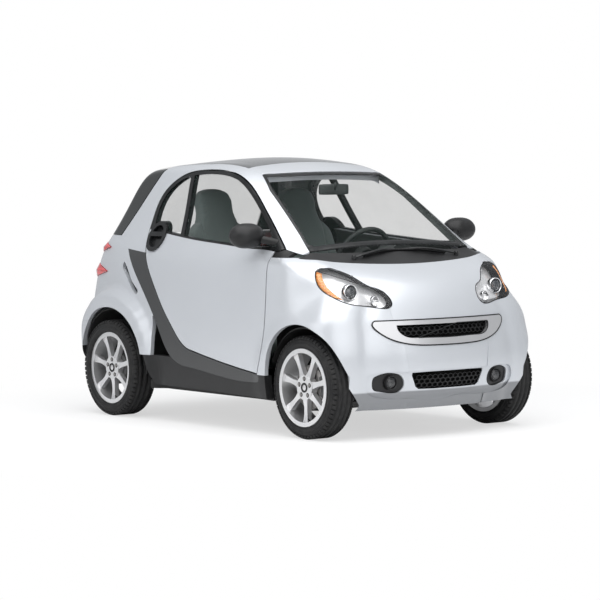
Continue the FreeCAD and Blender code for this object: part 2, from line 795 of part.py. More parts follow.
def hinge_arms(hand):
    """Hooked arms that carry the door round its hinge pins."""
    axis = hinge_axis(hand)
    inner = axis.x - hand * HINGE_HOOK
    arms = []
    for z in hinge_levels():
        low = z - HINGE_HEIGHT / 2
        x0, x1 = sorted((inner, axis.x))
        leg = box(x0, x1, axis.y - HINGE_RADIUS / 2, axis.y + HINGE_RADIUS / 2, low, low + HINGE_HEIGHT)
        x0, x1 = sorted((inner, inner + hand * HINGE_BAR))
        bar = box(x0, x1, axis.y - HINGE_RADIUS / 2, axis.y + HINGE_REACH, low, low + HINGE_HEIGHT)
        x0, x1 = sorted((inner, inner + hand * HINGE_ROOT_WIDTH))
        end = axis.y + HINGE_REACH
        root = box(x0, x1, end - HINGE_ROOT_LENGTH, end, low, low + HINGE_HEIGHT)
        eye = Part.makeCylinder(HINGE_RADIUS, HINGE_HEIGHT, axis + Vector(0, 0, low))
        arm = joined([leg, bar, root, eye])
        pin = Part.makeCylinder(HINGE_PIN_RADIUS + HINGE_GAP, HINGE_HEIGHT, axis + Vector(0, 0, low))
        arms.append(arm.cut(pin))
    return arms


def hinge_brackets(hand):
    """Ears on the door post that hold the hinge pins."""
    axis = hinge_axis(hand)
    ears = []
    x0, x1 = sorted((hand * (FLOOR_HALF_WIDTH - WALL_DEPTH), axis.x + hand * HINGE_RADIUS))
    for z in hinge_levels():
        for low in (z - HINGE_HEIGHT / 2 - HINGE_EAR - HINGE_PLAY, z + HINGE_HEIGHT / 2 + HINGE_PLAY):
            ears.append(box(x0, x1, axis.y - HINGE_RADIUS, axis.y + HINGE_EAR_REACH, low,
                            low + HINGE_EAR))
            start = hand * (FLOOR_HALF_WIDTH - WALL_DEPTH)
            a0, a1 = sorted((start, hand * FLOOR_HALF_WIDTH))
            ears.append(box(a0, a1, axis.y - HINGE_RADIUS, DASH_WALL_SHARE * HALF_LENGTH + 1, low,
                            low + HINGE_EAR))
        ears.append(Part.makeCylinder(HINGE_PIN_RADIUS, HINGE_HEIGHT + 2 * HINGE_EAR,
                                      axis + Vector(0, 0, z - HINGE_HEIGHT / 2 - HINGE_EAR)))
    return ears


def hinge_pocket(hand):
    """Hollow in the back of the fender for the two hinges of a door."""
    axis = hinge_axis(hand)
    x0, x1 = sorted((hand * 0.5 * HALF_WIDTH, axis.x + hand * HINGE_SWING))
    half = HINGE_HEIGHT / 2 + HINGE_EAR + HINGE_CLEARANCE
    low = min(hinge_levels()) - half
    high = max(hinge_levels()) + half + HINGE_POCKET_RISE
    pocket = box(x0, x1, axis.y - HINGE_RADIUS - HINGE_CLEARANCE, 0, low, high)
    return [pocket.cut(side_slab(SIDE_Y, SIDE_Z, -OVERRUN, OVERRUN + HINGE_SKIN, hand))]


# Door and side openings


def door_runs(gap):
    """Door outline grown by a gap on every side."""
    shares = (DOOR_FRONT_SHARES, DOOR_SAIL_SHARES, DOOR_TOP_SHARES, DOOR_LOW_SHARES)
    return grown([side_places(run) for run in shares], gap)


def above_belt(gap=0.0):
    """Everything above the belt line, as runs."""
    belt = [(y, z + gap) for y, z in side_places(BELT_SHARES)]
    high = HEIGHT + OVERRUN
    corners = [belt[-1], (belt[-1][0], high), (belt[0][0], high), belt[0]]
    return [belt] + [[corners[i], corners[i + 1]] for i in range(3)]


def window_runs(gap):
    """Window opening outline, shrunk by a gap."""
    shares = (WINDOW_TOP_SHARES, WINDOW_LOW_SHARES)
    return grown([side_places(run) for run in shares], -gap)


def divider_runs(width):
    """The upright bar between the two panes of a side window."""
    (y0, z0), (y1, z1) = side_places(DIVIDER_SHARES)
    half = width / 2
    return polygon([(y0 - half, z0), (y0 + half, z0), (y1 + half, z1), (y1 - half, z1)])


SIDE_Y = (-0.57, 0.66, 42)
SIDE_Z = (0.17, 0.97, 40)
POD_CENTRE_SHARES = (0.400, 0.703)
POD_RADIUS = 88.0
POD_PROUD = 10.0
HANDLE_HOLLOW_RADIUS = 64.0
HANDLE_DEPTH = 16.0
HANDLE_WIDTH = 26.0
MIRROR_SHARES = (0.990, -0.376, 0.717)
MIRROR_FOOT_SHARES = (-0.452, 0.690)
MIRROR_HALF_WIDTH = 105.0
MIRROR_HALF_LENGTH = 78.0
MIRROR_HALF_HEIGHT = 70.0
MIRROR_FOOT_RADIUS = 22.0
MIRROR_SECTION_SHARES = (-0.985, -0.86, -0.5, 0.0, 0.5, 0.86, 0.985)
MIRROR_BLUNTNESS = 2.6
MIRROR_RING_POINTS = 12
MIRROR_FACE_SHARE = 0.55


def pod_prism(hand, radius):
    """Round housing of the outer door handle, as a side prism."""
    y = POD_CENTRE_SHARES[0] * HALF_LENGTH
    z = POD_CENTRE_SHARES[1] * HEIGHT
    start = Vector(hand * HALF_WIDTH * 0.5, y, z)
    return Part.makeCylinder(radius, HALF_WIDTH, start, Vector(hand, 0, 0))


def door(hand):
    """Door below the belt: outer and inner skin as one thick shell."""
    solid = side_slab(SIDE_Y, SIDE_Z, 0.0, DOOR_WALL, hand)
    solid = solid.common(outboard(hand, door_runs(-MOVING_GAP)))
    solid = solid.cut(outboard(hand, above_belt()))
    solid = solid.cut(pod_prism(hand, POD_RADIUS + SEAM))
    inner = side_slab(SIDE_Y, SIDE_Z, DOOR_LIP, DOOR_WALL, hand)
    solid = solid.cut(inner.cut(outboard(hand, door_runs(-MOVING_GAP - DOOR_STEP))))
    return biggest(joined([biggest(solid)] + hinge_arms(hand)))


def window_frame(hand):
    """Black frame of the side window with its divider and mirror sail."""
    solid = side_slab(SIDE_Y, SIDE_Z, 0.0, FRAME_WALL, hand)
    solid = solid.common(outboard(hand, door_runs(-MOVING_GAP)))
    solid = solid.common(outboard(hand, above_belt(SEAM)))
    opening = outboard(hand, window_runs(0.0)).cut(outboard(hand, divider_runs(DIVIDER_WIDTH)))
    solid = solid.cut(opening).cut(pod_prism(hand, POD_RADIUS - 1))
    return biggest(joined([solid, handle_pod(hand)]))


def door_glass(hand):
    """The two panes of a side window, set back in the frame."""
    solid = side_slab(SIDE_Y, SIDE_Z, GLASS_RECESS, GLASS, hand)
    solid = solid.common(outboard(hand, window_runs(SEAM)))
    solid = solid.cut(outboard(hand, divider_runs(DIVIDER_WIDTH + 2 * SEAM)))
    solid = solid.cut(pod_prism(hand, POD_RADIUS + SEAM))
    return Part.makeCompound(solids_over(solid, GLASS ** 3))


def handle_pod(hand):
    """Round handle housing at the rear of the belt, a little proud of the door."""
    solid = side_slab(SIDE_Y, SIDE_Z, -POD_PROUD, POD_PROUD + FRAME_WALL, hand)
    solid = solid.common(pod_prism(hand, POD_RADIUS))
    hollow = side_slab(SIDE_Y, SIDE_Z, -POD_PROUD * 2, POD_PROUD * 2 + HANDLE_DEPTH, hand)
    hollow = hollow.common(pod_prism(hand, HANDLE_HOLLOW_RADIUS))
    y = POD_CENTRE_SHARES[0] * HALF_LENGTH
    z = POD_CENTRE_SHARES[1] * HEIGHT
    bar = box(-WIDTH, WIDTH, y - POD_RADIUS, y + POD_RADIUS, z, z + HANDLE_WIDTH)
    solid = solid.cut(hollow.cut(bar))
    solid = solid.common(outboard(hand, door_runs(-MOVING_GAP)))
    return biggest(solid)


def mirror(hand):
    """Door mirror: a rounded housing on a short foot at the sail."""
    x, y, z = MIRROR_SHARES
    centre = Vector(hand * x * HALF_WIDTH, y * HALF_LENGTH, z * HEIGHT)
    rings = []
    for across in MIRROR_SECTION_SHARES:
        size = math.sqrt(1 - abs(across) ** MIRROR_BLUNTNESS)
        ring = []
        for i in range(MIRROR_RING_POINTS):
            turn = 2 * math.pi * i / MIRROR_RING_POINTS
            ring.append(centre + Vector(hand * across * MIRROR_HALF_WIDTH,
                                        MIRROR_HALF_LENGTH * size * math.cos(turn),
                                        MIRROR_HALF_HEIGHT * size * math.sin(turn)))
        curve = Part.BSplineCurve()
        curve.interpolate(ring, True)
        rings.append(Part.Wire([curve.toShape()]))
    housing = Part.makeLoft(rings, True)
    face = centre.y + MIRROR_HALF_LENGTH * MIRROR_FACE_SHARE
    housing = housing.cut(box(-WIDTH, WIDTH, face, LENGTH, 0, 2 * HEIGHT))
    foot_y, foot_z = side_places((MIRROR_FOOT_SHARES,))[0]
    start = Vector(hand * (side_width(foot_y, foot_z) - FRAME_WALL / 2), foot_y, foot_z)
    foot = rod(MIRROR_FOOT_RADIUS, start, centre)
    foot = foot.cut(side_slab(SIDE_Y, SIDE_Z, -SEAM, FRAME_WALL + DOOR_WALL, hand))
    return biggest(joined([housing, biggest(foot)]))


def side_band(hand):
    """Dark band behind and below the door."""
    rear = side_places(BAND_REAR_SHARES)
    low = side_places(BAND_LOW_SHARES)
    nose = side_places(BAND_NOSE_SHARES)
    top = side_places(BAND_TOP_SHARES)
    inner = (top[0][0] - OVERRUN, top[0][1])
    runs = [top, rear, low, nose, [nose[-1], inner], [inner, top[0]]]
    solid = side_slab(SIDE_Y, SIDE_Z, 0.0, CELL_WALL, hand).common(outboard(hand, runs))
    solid = solid.cut(outboard(hand, door_runs(0.0)))
    return biggest(solid)


def sill(hand):
    """Dark sill under the band, from the front arch to the rear one."""
    bottom = side_places(SILL_BOTTOM_SHARES)
    tail = side_places(SILL_TAIL_SHARES)
    corner = side_places(DOOR_FRONT_SHARES)[0]
    points = [(bottom[-1][0], corner[1] - SEAM), (0, corner[1] - SEAM), (0, tail[0][1]), tail[0],
              tail[1]] + bottom[1:]
    solid = side_slab(SILL_Y, SILL_Z, 0.0, SILL_WALL, hand).common(outboard(hand, polygon(points)))
    arch = arch_clearance(hand, REAR_AXLE_Y, REAR_TYRE_RADIUS, REAR_ARCH_RADIUS)
    cutters = [arch, side_band_prism(hand), outboard(hand, door_runs(0.0))]
    solid = without(solid, cutters)
    return min(solid.Solids, key=lambda piece: piece.CenterOfMass.z)


def safety_cell(hand):
    """Light arch round the door: front pillar, roof rail and rear pillar."""
    rows = spread(10.4, 23.4, 48)
    laterals = spread(0.8, 2.0, 11)[:-1] + spread(2.0, 3.0, 16)
    solid = skin_slab(rows, [hand * t for t in laterals], 0.0, CELL_WALL, roof_far)
    cutters = [outboard(hand, door_runs(0.0), 0.2), behind_wrap(hand, -LID_GAP / 2),
               below_belt(hand), glasshouse_prism(0.0), ahead_of_pillar(),
               outboard(hand, foot_strip_runs(SEAM))]
    return biggest(without(solid, cutters))


def behind_wrap(hand, gap):
    """Everything behind the front edge of the wrap-round rear glass."""
    edge = moved_outline(side_places(WRAP_SHARES), gap)
    edge = [(edge[0][0] - 0.3 * OVERRUN, HEIGHT + OVERRUN)] + edge
    corners = [edge[-1], (HALF_LENGTH + OVERRUN, edge[-1][1]),
               (HALF_LENGTH + OVERRUN, HEIGHT + OVERRUN), edge[0]]
    runs = [edge[:2], edge[1:]] + [[corners[i], corners[i + 1]] for i in range(3)]
    return outboard(hand, runs, -0.1)


def below_belt(hand, gap=0.0):
    """Everything below the seam at the belt, from nose to tail."""
    seam = side_places(CELL_TAIL_SHARES)
    top = side_places(BAND_TOP_SHARES)
    base = 0.4 * HEIGHT
    points = [(HALF_LENGTH, seam[0][1]), seam[0], seam[1], top[0], (-HALF_LENGTH, top[0][1]),
              (-HALF_LENGTH, base), (HALF_LENGTH, base)]
    return outboard(hand, polygon([(y, z + gap) for y, z in points]), 0.1)


def glasshouse_prism(gap):
    """Windscreen, header and roof panel seen from above."""
    side = moved_outline(plan_places(SCREEN_SIDE_SHARES), -gap)
    roof = ROOF_SIDE_SHARE * HALF_WIDTH + gap
    right = side + [(roof, 0.0), (roof, HALF_LENGTH)]
    left = [(-x, y) for x, y in reversed(right)]
    return prism(polygon(right + left), "z", 0.5 * HEIGHT, HEIGHT + OVERRUN)


def ahead_of_pillar(gap=0.0):
    """Everything ahead of the foot of the front pillars."""
    y = SCREEN_BASE_SHARES[0][1] * HALF_LENGTH + gap
    return box(-WIDTH, WIDTH, -LENGTH, y, 0, 2 * HEIGHT)


def mirrored_laterals(limit, count):
    """Laterals from one side of the car to the other."""
    right = spread(0.0, 1.0, 9)[1:]
    round_edge = [t for t in spread(1.0, 2.0, 9)[1:] if t <= limit]
    side = [t for t in spread(2.0, 3.0, count)[1:] if t <= limit]
    half = right + round_edge + side
    return [-t for t in reversed(half)] + [0.0] + half


def screen_places():
    """Plan outline of the windscreen as runs."""
    side = plan_places(SCREEN_SIDE_SHARES)
    top = plan_places(SCREEN_TOP_SHARES)
    base = plan_places(SCREEN_BASE_SHARES)
    over = top + [(-x, y) for x, y in reversed(top[:-1])]
    under = base + [(-x, y) for x, y in reversed(base[:-1])]
    return side, over, under


def windscreen():
    """Windscreen between the pillars, the cowl and the header."""
    side, over, under = screen_places()
    other = [(-x, y) for x, y in side]
    runs = [side, over, other[::-1], under[::-1]]
    rows = spread(10.2, 15.6, 24)
    solid = skin_slab(rows, mirrored_laterals(1.5, 3), GLASS_RECESS / 2, GLASS)
    solid = solid.common(prism(grown(runs, -SEAM), "z", 0.5 * HEIGHT, 2 * HEIGHT))
    return biggest(solid.common(glasshouse_prism(-SEAM)))


def roof_header():
    """Light cross member over the windscreen."""
    over = screen_places()[1]
    rear = ROOF_FRONT_SHARE * HALF_LENGTH
    side = ROOF_SIDE_SHARE * HALF_WIDTH
    front = -0.2 * HALF_LENGTH
    corners = [over[-1], (-side, rear), (side, rear), over[0]]
    runs = [over] + [[corners[i], corners[i + 1]] for i in range(3)]
    solid = skin_slab(spread(13.6, 16.4, 16), mirrored_laterals(1.6, 3), 0.0, CELL_WALL)
    solid = solid.common(prism(runs, "z", 0.5 * HEIGHT, 2 * HEIGHT))
    solid = solid.cut(box(-WIDTH, WIDTH, rear - SEAM, LENGTH, 0, 2 * HEIGHT))
    return biggest(solid.common(glasshouse_prism(-SEAM)))


def roof_panel():
    """Dark roof between the arches."""
    side = ROOF_SIDE_SHARE * HALF_WIDTH - SEAM
    front = ROOF_FRONT_SHARE * HALF_LENGTH
    rear = ROOF_REAR_SHARE * HALF_LENGTH
    solid = skin_slab(spread(14.2, 20.0, 26), mirrored_laterals(1.4, 3), 0.0, ROOF_WALL)
    solid = solid.common(box(-side, side, front, rear, 0.5 * HEIGHT, 2 * HEIGHT))
    return biggest(solid.common(glasshouse_prism(-SEAM)))


def cowl_runs(gap):
    """Plan outline of the dark cowl ahead of the windscreen."""
    edge = plan_places(COWL_SHARES)
    front = [(-x, y) for x, y in edge[::-1]][:-1] + edge
    base = plan_places(SCREEN_BASE_SHARES)
    rear = base + [(-x, y) for x, y in reversed(base[:-1])]
    runs = [front, [front[-1], rear[0]], rear, [rear[-1], front[0]]]
    return grown(runs, gap)


def cowl():
    """Dark cowl between the nose panels and the windscreen."""
    rows = spread(8.4, 11.8, 22)
    solid = skin_slab(rows, mirrored_laterals(2.4, 8), COWL_RECESS, COWL_WALL, cowl_far)
    solid = solid.common(prism(cowl_runs(0.0), "z", 0.4 * HEIGHT, 2 * HEIGHT))
    return Part.makeCompound([biggest(solid), foot_strip(-1), foot_strip(1)])


def foot_strip_runs(gap):
    """Side outline of the dark strip under the front pillar's foot."""
    front = SCREEN_BASE_SHARES[0][1] * HALF_LENGTH + SEAM
    low = BAND_TOP_SHARES[0][1] * HEIGHT
    (y, z) = side_places(DOOR_SAIL_SHARES)[1]
    return polygon([(front - gap, low - gap), (0, low - gap), (0, z + gap),
                    (y, z + gap), (front - gap, low + FOOT_STRIP_HEIGHT + gap)])


def foot_strip(hand):
    """Dark strip from the cowl to the door's sail, under the pillar's foot."""
    solid = side_slab(SIDE_Y, SIDE_Z, COWL_RECESS / 3, CELL_WALL - COWL_RECESS, hand)
    cutters = [outboard(hand, door_runs(0.0), 0.2), below_belt(hand), ahead_of_pillar(SEAM),
               prism(cowl_runs(SEAM), "z", 0.4 * HEIGHT, 2 * HEIGHT)]
    solid = solid.common(outboard(hand, foot_strip_runs(0.0)))
    return biggest(without(solid, cutters))


def cowl_far(row):
    """Where the rows of the cowl end at the sides."""
    return (profile(row)[0] * 0.8, 0.45 * HEIGHT)


def front_view(runs, gap=0.0):
    """Prism of a front outline through the nose only."""
    if gap:
        runs = grown(runs, gap)
    return prism(runs, "y", -HALF_LENGTH - OVERRUN, -0.30 * HALF_LENGTH)


def smooth_prism(ring, gap):
    """Smooth closed front outline through the nose, grown by a gap."""
    count = len(ring)
    points = []
    for i, (x, z) in enumerate(ring):
        ax, az = ring[i - 1]
        bx, bz = ring[(i + 1) % count]
        size = math.hypot(bx - ax, bz - az)
        points.append(Vector(x + (bz - az) / size * gap, -HALF_LENGTH - OVERRUN,
                             z - (bx - ax) / size * gap))
    curve = Part.BSplineCurve()
    curve.interpolate(points, True)
    solid = Part.Face(Part.Wire([curve.toShape()])).extrude(Vector(0, HALF_LENGTH, 0))
    if solid.Volume < 0:
        solid.reverse()
    return solid


def lamp_prism(hand, gap):
    """Headlamp outline through the nose, grown by a gap."""
    return smooth_prism(front_places(LAMP_SHARES, hand), -hand * gap)


def grille_runs():
    """Smile-shaped surround: lower curve to the corner, then straight over."""
    low = front_places(GRILLE_SHARES)
    under = low[::-1]
    full = [(-x, z) for x, z in low][:-1] + under
    return [full, [full[-1], full[0]]]


def mesh_runs():
    """Upper mesh opening."""
    low = front_places(MESH_SHARES)
    full = [(-x, z) for x, z in low][:-1] + low[::-1]
    return [full, [full[-1], full[0]]]


def both_sides(shares):
    """Closed front outline from its left half, bottom middle to top middle."""
    half = front_places(shares)
    return half + [(-x, z) for x, z in reversed(half[1:-1])]


def lower_grille(gap):
    """Lower mesh opening."""
    return front_view(grown(polygon(both_sides(LOWER_GRILLE_SHARES)), gap))


def fog_pod_prism(hand, gap):
    """Dark pod round a fog lamp."""
    return smooth_prism(front_places(FOG_POD_SHARES, hand), hand * gap)


def scoop():
    """Shallow hollow of the bumper round the fog lamps and the lower grille."""
    laterals = mirrored_laterals(1.9, 14)
    first, last = SCOOP_ROWS
    outer = []
    inner = []
    for row in spread(first, last, 16):
        far = front_far(row)
        depth = SCOOP_DEPTH * ease((row - first) / (last - first) / SCOOP_RISE_SHARE)
        outer.append([skin_point(row, t, -OVERRUN, far) for t in laterals])
        inner.append([skin_point(row, t, depth, far) for t in laterals])
    return slab(outer, inner).common(smooth_prism(both_sides(SCOOP_SHARES), 0.0))


NOSE_ROWS = (0.0, 11.6)


def nose_slab(first, last, count, limit, inset, wall):
    """Slab of the nose skin over both sides."""
    laterals = mirrored_laterals(limit, 14)
    return skin_slab(spread(first, last, count), laterals, inset, wall, front_far)


def front_bumper():
    """Middle of the front bumper, from lip to grille."""
    (x0, z0), (x1, z1), (x2, z2) = front_places(NOSE_SEAM_SHARES)
    outline = polygon([(-x2, z2), (x2, z2), (x1, z1), (x0, z0 + OVERRUN), (-x0, z0 + OVERRUN),
                       (-x1, z1)])
    solid = nose_slab(0.0, 5.6, 30, 1.6, 0.0, SKIN).common(front_view(outline, -SEAM))
    cutters = [front_view(grille_runs(), SEAM), lower_grille(0.0), scoop()]
    return biggest(without(solid, cutters))


def grille_surround():
    """Light smile-shaped frame of the upper grille."""
    solid = nose_slab(1.5, 6.4, 30, 1.8, -SURROUND_PROUD, SKIN + SURROUND_PROUD)
    solid = solid.common(front_view(grille_runs()))
    return biggest(solid.cut(front_view(mesh_runs())))


def grille_meshes():
    """The two mesh plates, set back in their openings."""
    plates = []
    for outline in (front_view(mesh_runs(), -SEAM), lower_grille(-SEAM)):
        solid = nose_slab(0.0, 6.4, 34, 1.6, MESH_RECESS, MESH_WALL)
        plates.append(biggest(solid.common(outline)))
    return Part.makeCompound(plates)


def hood_runs(gap=0.0):
    """Front outline of the clip-on panel between the lamps."""
    side = front_places(HOOD_SIDE_SHARES)
    points = side + [(-x, z) for x, z in reversed(side)]
    return grown(polygon(points), gap)


def service_panel():
    """Clip-on panel between the lamps, from the grille to the cowl."""
    solid = nose_slab(3.6, 11.4, 36, 2.0, 0.0, SKIN).common(front_view(hood_runs(-SEAM)))
    cutters = [front_view(grille_runs(), SEAM), prism(cowl_runs(SEAM), "z", 0.4 * HEIGHT, 2 * HEIGHT),
               behind_cowl()]
    cutters += [lamp_prism(hand, SEAM) for hand in (-1, 1)]
    return biggest(without(solid, cutters))


def behind_cowl():
    """Everything behind the front of the windscreen's foot."""
    y = SCREEN_BASE_SHARES[0][1] * HALF_LENGTH
    return box(-0.72 * HALF_WIDTH, 0.72 * HALF_WIDTH, y, LENGTH, 0.4 * HEIGHT, 2 * HEIGHT)


def headlamp(hand):
    """Headlamp block in its smooth outline."""
    solid = nose_slab(3.4, 10.4, 34, 2.6, 0.0, LAMP_WALL)
    return biggest(solid.common(lamp_prism(hand, 0.0)))


def arch_clearance(hand, y, tyre_radius, radius):
    """Space round a wheel: the open arch outside, the tyre's room inside."""
    side = hand * ARCH_INNER_SHARE * HALF_WIDTH
    start = Vector(side, y, tyre_radius)
    return Part.makeCylinder(radius, HALF_WIDTH, start, Vector(hand, 0, 0))


def front_arch(hand):
    """Opening of the front wheel arch as a side prism."""
    points = side_places(FRONT_ARCH_SHARES)
    runs = [points, [points[-1], points[0]]]
    tyre = arch_clearance(hand, FRONT_AXLE_Y, FRONT_TYRE_RADIUS, FRONT_TYRE_RADIUS + TYRE_ROOM)
    return [outboard(hand, runs, FRONT_ARCH_INNER_SHARE), tyre]


def front_fender(hand):
    """Front corner and side panel with the wheel arch."""
    laterals = spread(0.3, 1.0, 6)[:-1] + spread(1.0, 2.0, 12)[:-1] + spread(2.0, 3.0, 16)
    solid = skin_slab(spread(0.0, 11.6, 44), [hand * t for t in laterals], 0.0, SKIN, front_far)
    (x0, z0), (x1, z1), (x2, z2) = front_places(NOSE_SEAM_SHARES)
    bumper = polygon([(-x2, z2), (x2, z2), (x1, z1), (x0, z0 + OVERRUN), (-x0, z0 + OVERRUN),
                      (-x1, z1)])
    cutters = [front_view(bumper), front_view(grille_runs(), SEAM), front_view(hood_runs()),
               lamp_prism(hand, SEAM), fog_pod_prism(hand, SEAM), scoop(),
               behind_door_front(hand), below_door(hand)]
    cutters += front_arch(hand)
    cutters.append(prism(cowl_runs(SEAM), "z", 0.4 * HEIGHT, 2 * HEIGHT))
    cutters.append(above_fender(hand))
    cutters += hinge_pocket(hand)
    return biggest(without(solid, cutters))


def above_fender(hand):
    """The pillar's foot and everything above it."""
    seam = side_places(BAND_TOP_SHARES)[0][1] + 0.0
    y = SCREEN_BASE_SHARES[0][1] * HALF_LENGTH - SEAM
    inner = hand * 0.3 * HALF_WIDTH
    outer = hand * (HALF_WIDTH + OVERRUN)
    return box(min(inner, outer), max(inner, outer), y, 0, seam - SEAM, 2 * HEIGHT)


def behind_door_front(hand):
    """Everything behind the front edge of the door opening."""
    edge = side_places(DOOR_FRONT_SHARES)
    corners = [edge[-1], (edge[-1][0], HEIGHT), (0, HEIGHT), (0, edge[0][1]), edge[0]]
    return outboard(hand, [edge] + [[corners[i], corners[i + 1]] for i in range(4)], 0.3)


def below_door(hand):
    """Everything level with the sill, behind the front wheel."""
    level = DOOR_FRONT_SHARES[0][1] * HEIGHT
    inner, outer = sorted((hand * 0.4 * HALF_WIDTH, hand * WIDTH))
    return box(inner, outer, FRONT_AXLE_Y + FRONT_TYRE_RADIUS * 0.8, 0, 0, level)


def fog_pod(hand):
    """Dark recess with the seat of a fog lamp."""
    solid = nose_slab(0.0, 5.0, 26, 2.0, POD_RECESS, SKIN)
    solid = solid.common(fog_pod_prism(hand, 0.0))
    x, z = front_places((FOG_LAMP_SHARES,), hand)[0]
    hole = Part.makeCylinder(FOG_LAMP_RADIUS + SEAM, OVERRUN * 3, Vector(x, -HALF_LENGTH, z),
                             Vector(0, 1, 0))
    return biggest(solid.cut(hole))


def fog_lamp(hand):
    """Round fog lamp standing in its pod."""
    x, z = front_places((FOG_LAMP_SHARES,), hand)[0]
    face = HALF_LENGTH * FOG_LAMP_FACE_SHARE
    return Part.makeCylinder(FOG_LAMP_RADIUS, FOG_LAMP_DEPTH, Vector(x, -face, z), Vector(0, 1, 0))


def side_band_prism(hand):
    """Outline of the side band with its seam, for cutting its neighbours."""
    rear = side_places(BAND_REAR_SHARES)
    low = side_places(BAND_LOW_SHARES)
    nose = side_places(BAND_NOSE_SHARES)
    top = side_places(BAND_TOP_SHARES)
    inner = (top[0][0] - OVERRUN, top[0][1])
    runs = [top, rear, low, nose, [nose[-1], inner], [inner, top[0]]]
    return outboard(hand, grown(runs, SEAM))


def tail_slab(first, last, count, limit, inset, wall):
    """Slab of the tail skin over both sides."""
    laterals = mirrored_laterals(limit, 14)
    return skin_slab(spread(first, last, count), laterals, inset, wall, rear_far)


def rear_window_low():
    """Everything below the lower edge of the rear window."""
    z0 = REAR_WINDOW_LOW_SHARES[0] * HEIGHT
    z1 = REAR_WINDOW_LOW_SHARES[1] * HEIGHT
    side = REAR_CORNER_SHARE * HALF_WIDTH
    return [(-WIDTH, z1), (-side, z1), (0, z0), (side, z1), (WIDTH, z1)]


def rear_view(runs):
    """Prism of a rear outline through the tail only."""
    return prism(runs, "y", 0.36 * HALF_LENGTH, HALF_LENGTH + OVERRUN)


def below_window(gap):
    """Rear outline of everything below the rear window."""
    side = REAR_CORNER_SHARE * HALF_WIDTH
    z0 = REAR_WINDOW_LOW_SHARES[0] * HEIGHT + gap
    z1 = REAR_WINDOW_LOW_SHARES[1] * HEIGHT + gap
    edge = [(-side, z1), (-side / 2, (z0 * 3 + z1) / 4), (0, z0), (side / 2, (z0 * 3 + z1) / 4),
            (side, z1)]
    points = [(side, z1), (WIDTH, z1), (WIDTH, 0), (-WIDTH, 0), (-WIDTH, z1), (-side, z1)]
    return rear_view([edge] + [[points[i], points[i + 1]] for i in range(5)])


def rear_window():
    """Wrap-round rear window and its spoiler edge, one lifting lid."""
    front = ROOF_REAR_SHARE * HALF_LENGTH + LID_GAP
    solid = skin_slab(spread(18.2, 23.9, 30), mirrored_laterals(3.0, 9), 0.0, WINDOW_WALL, wrap_far)
    keep = joined([behind_wrap(-1, LID_GAP / 2), behind_wrap(1, LID_GAP / 2)])
    solid = solid.common(keep)
    solid = solid.cut(box(-WIDTH, WIDTH, 0, front, 0, 2 * HEIGHT))
    return biggest(solid.cut(below_window(LID_GAP / 2)))


def wrap_far(row):
    """Where the rows of the rear glass end, on the side ahead of its edge."""
    share = (row - 18.0) / 6.0
    return ((0.44 + 0.20 * share) * HALF_LENGTH, (0.80 - 0.16 * share) * HEIGHT)


def tailgate_side():
    """Half width of the tailgate."""
    return TAILGATE_SHARE * HALF_WIDTH


def tailgate():
    """Drop-down tailgate between the rear corners."""
    side = tailgate_side()
    low = TAILGATE_LOW_SHARE * HEIGHT
    solid = tail_slab(22.2, 27.8, 30, 1.6, 0.0, TAILGATE_WALL)
    solid = solid.common(box(-side, side, 0, LENGTH, low, HEIGHT))
    return biggest(solid.common(below_window(-LID_GAP / 2)))


def lamp_outline(hand, shares):
    """Side prism of a tail lamp, outboard of the tailgate."""
    points = side_places(shares)
    return outboard(hand, polygon(points), TAILGATE_SHARE + TAIL_LAMP_SPACE_SHARE)


def tail_lamp(hand, shares):
    """Pointed tail lamp wrapping round the rear corner."""
    solid = corner_slab(hand, 22.2, 27.0, 0.0, LAMP_WALL)
    return biggest(solid.common(lamp_outline(hand, shares)))


def corner_slab(hand, first, last, inset, wall):
    """Slab of one rear corner and side."""
    laterals = spread(0.3, 1.0, 6)[:-1] + spread(1.0, 2.0, 12)[:-1] + spread(2.0, 3.0, 18)
    rows = spread(first, last, int((last - first) * 5) + 2)
    return skin_slab(rows, [hand * t for t in laterals], inset, wall, rear_far)


def rear_fender(hand):
    """Rear corner and side panel with the wheel arch and the air slot."""
    solid = corner_slab(hand, 21.6, 28.6, 0.0, SKIN)
    side = tailgate_side() + MOVING_GAP
    inner = sorted((0, hand * side))
    arch = arch_clearance(hand, REAR_AXLE_Y, REAR_TYRE_RADIUS, REAR_ARCH_RADIUS)
    cutters = [box(inner[0], inner[1], 0, LENGTH, 0, 2 * HEIGHT), arch, bumper_box(SEAM),
               fender_front(hand), side_band_prism(hand), slot(hand)]
    cutters += [moved_lamp(hand, shares) for shares in (TAIL_LAMP_HIGH_SHARES, TAIL_LAMP_LOW_SHARES)]
    solid = without(solid, cutters)
    return biggest(solid.common(joined([below_belt(hand, -SEAM), below_window(-LID_GAP)])))


def moved_lamp(hand, shares):
    """Hole for a tail lamp."""
    points = side_places(shares)
    runs = grown(polygon(points), SEAM)
    return outboard(hand, runs, TAILGATE_SHARE + TAIL_LAMP_SPACE_SHARE - SEAM / HALF_WIDTH)


def fender_front(hand):
    """The door, the arch and everything above the seam to the pillar."""
    seam = side_places(CELL_TAIL_SHARES)
    wrap = side_places(WRAP_SHARES)
    points = [(seam[0][0], seam[0][1] - SEAM), (seam[1][0], seam[1][1] - SEAM),
              (0, seam[1][1] - SEAM), (0, HEIGHT + OVERRUN), (wrap[0][0], HEIGHT + OVERRUN),
              (wrap[0][0] + OVERRUN, wrap[1][1])]
    level = SILL_TAIL_SHARES[0][1] * HEIGHT + SEAM
    below = box(-WIDTH, WIDTH, -LENGTH, REAR_AXLE_Y, 0, level)
    return joined([outboard(hand, polygon(points), 0.1), below, outboard(hand, door_runs(0.0))])


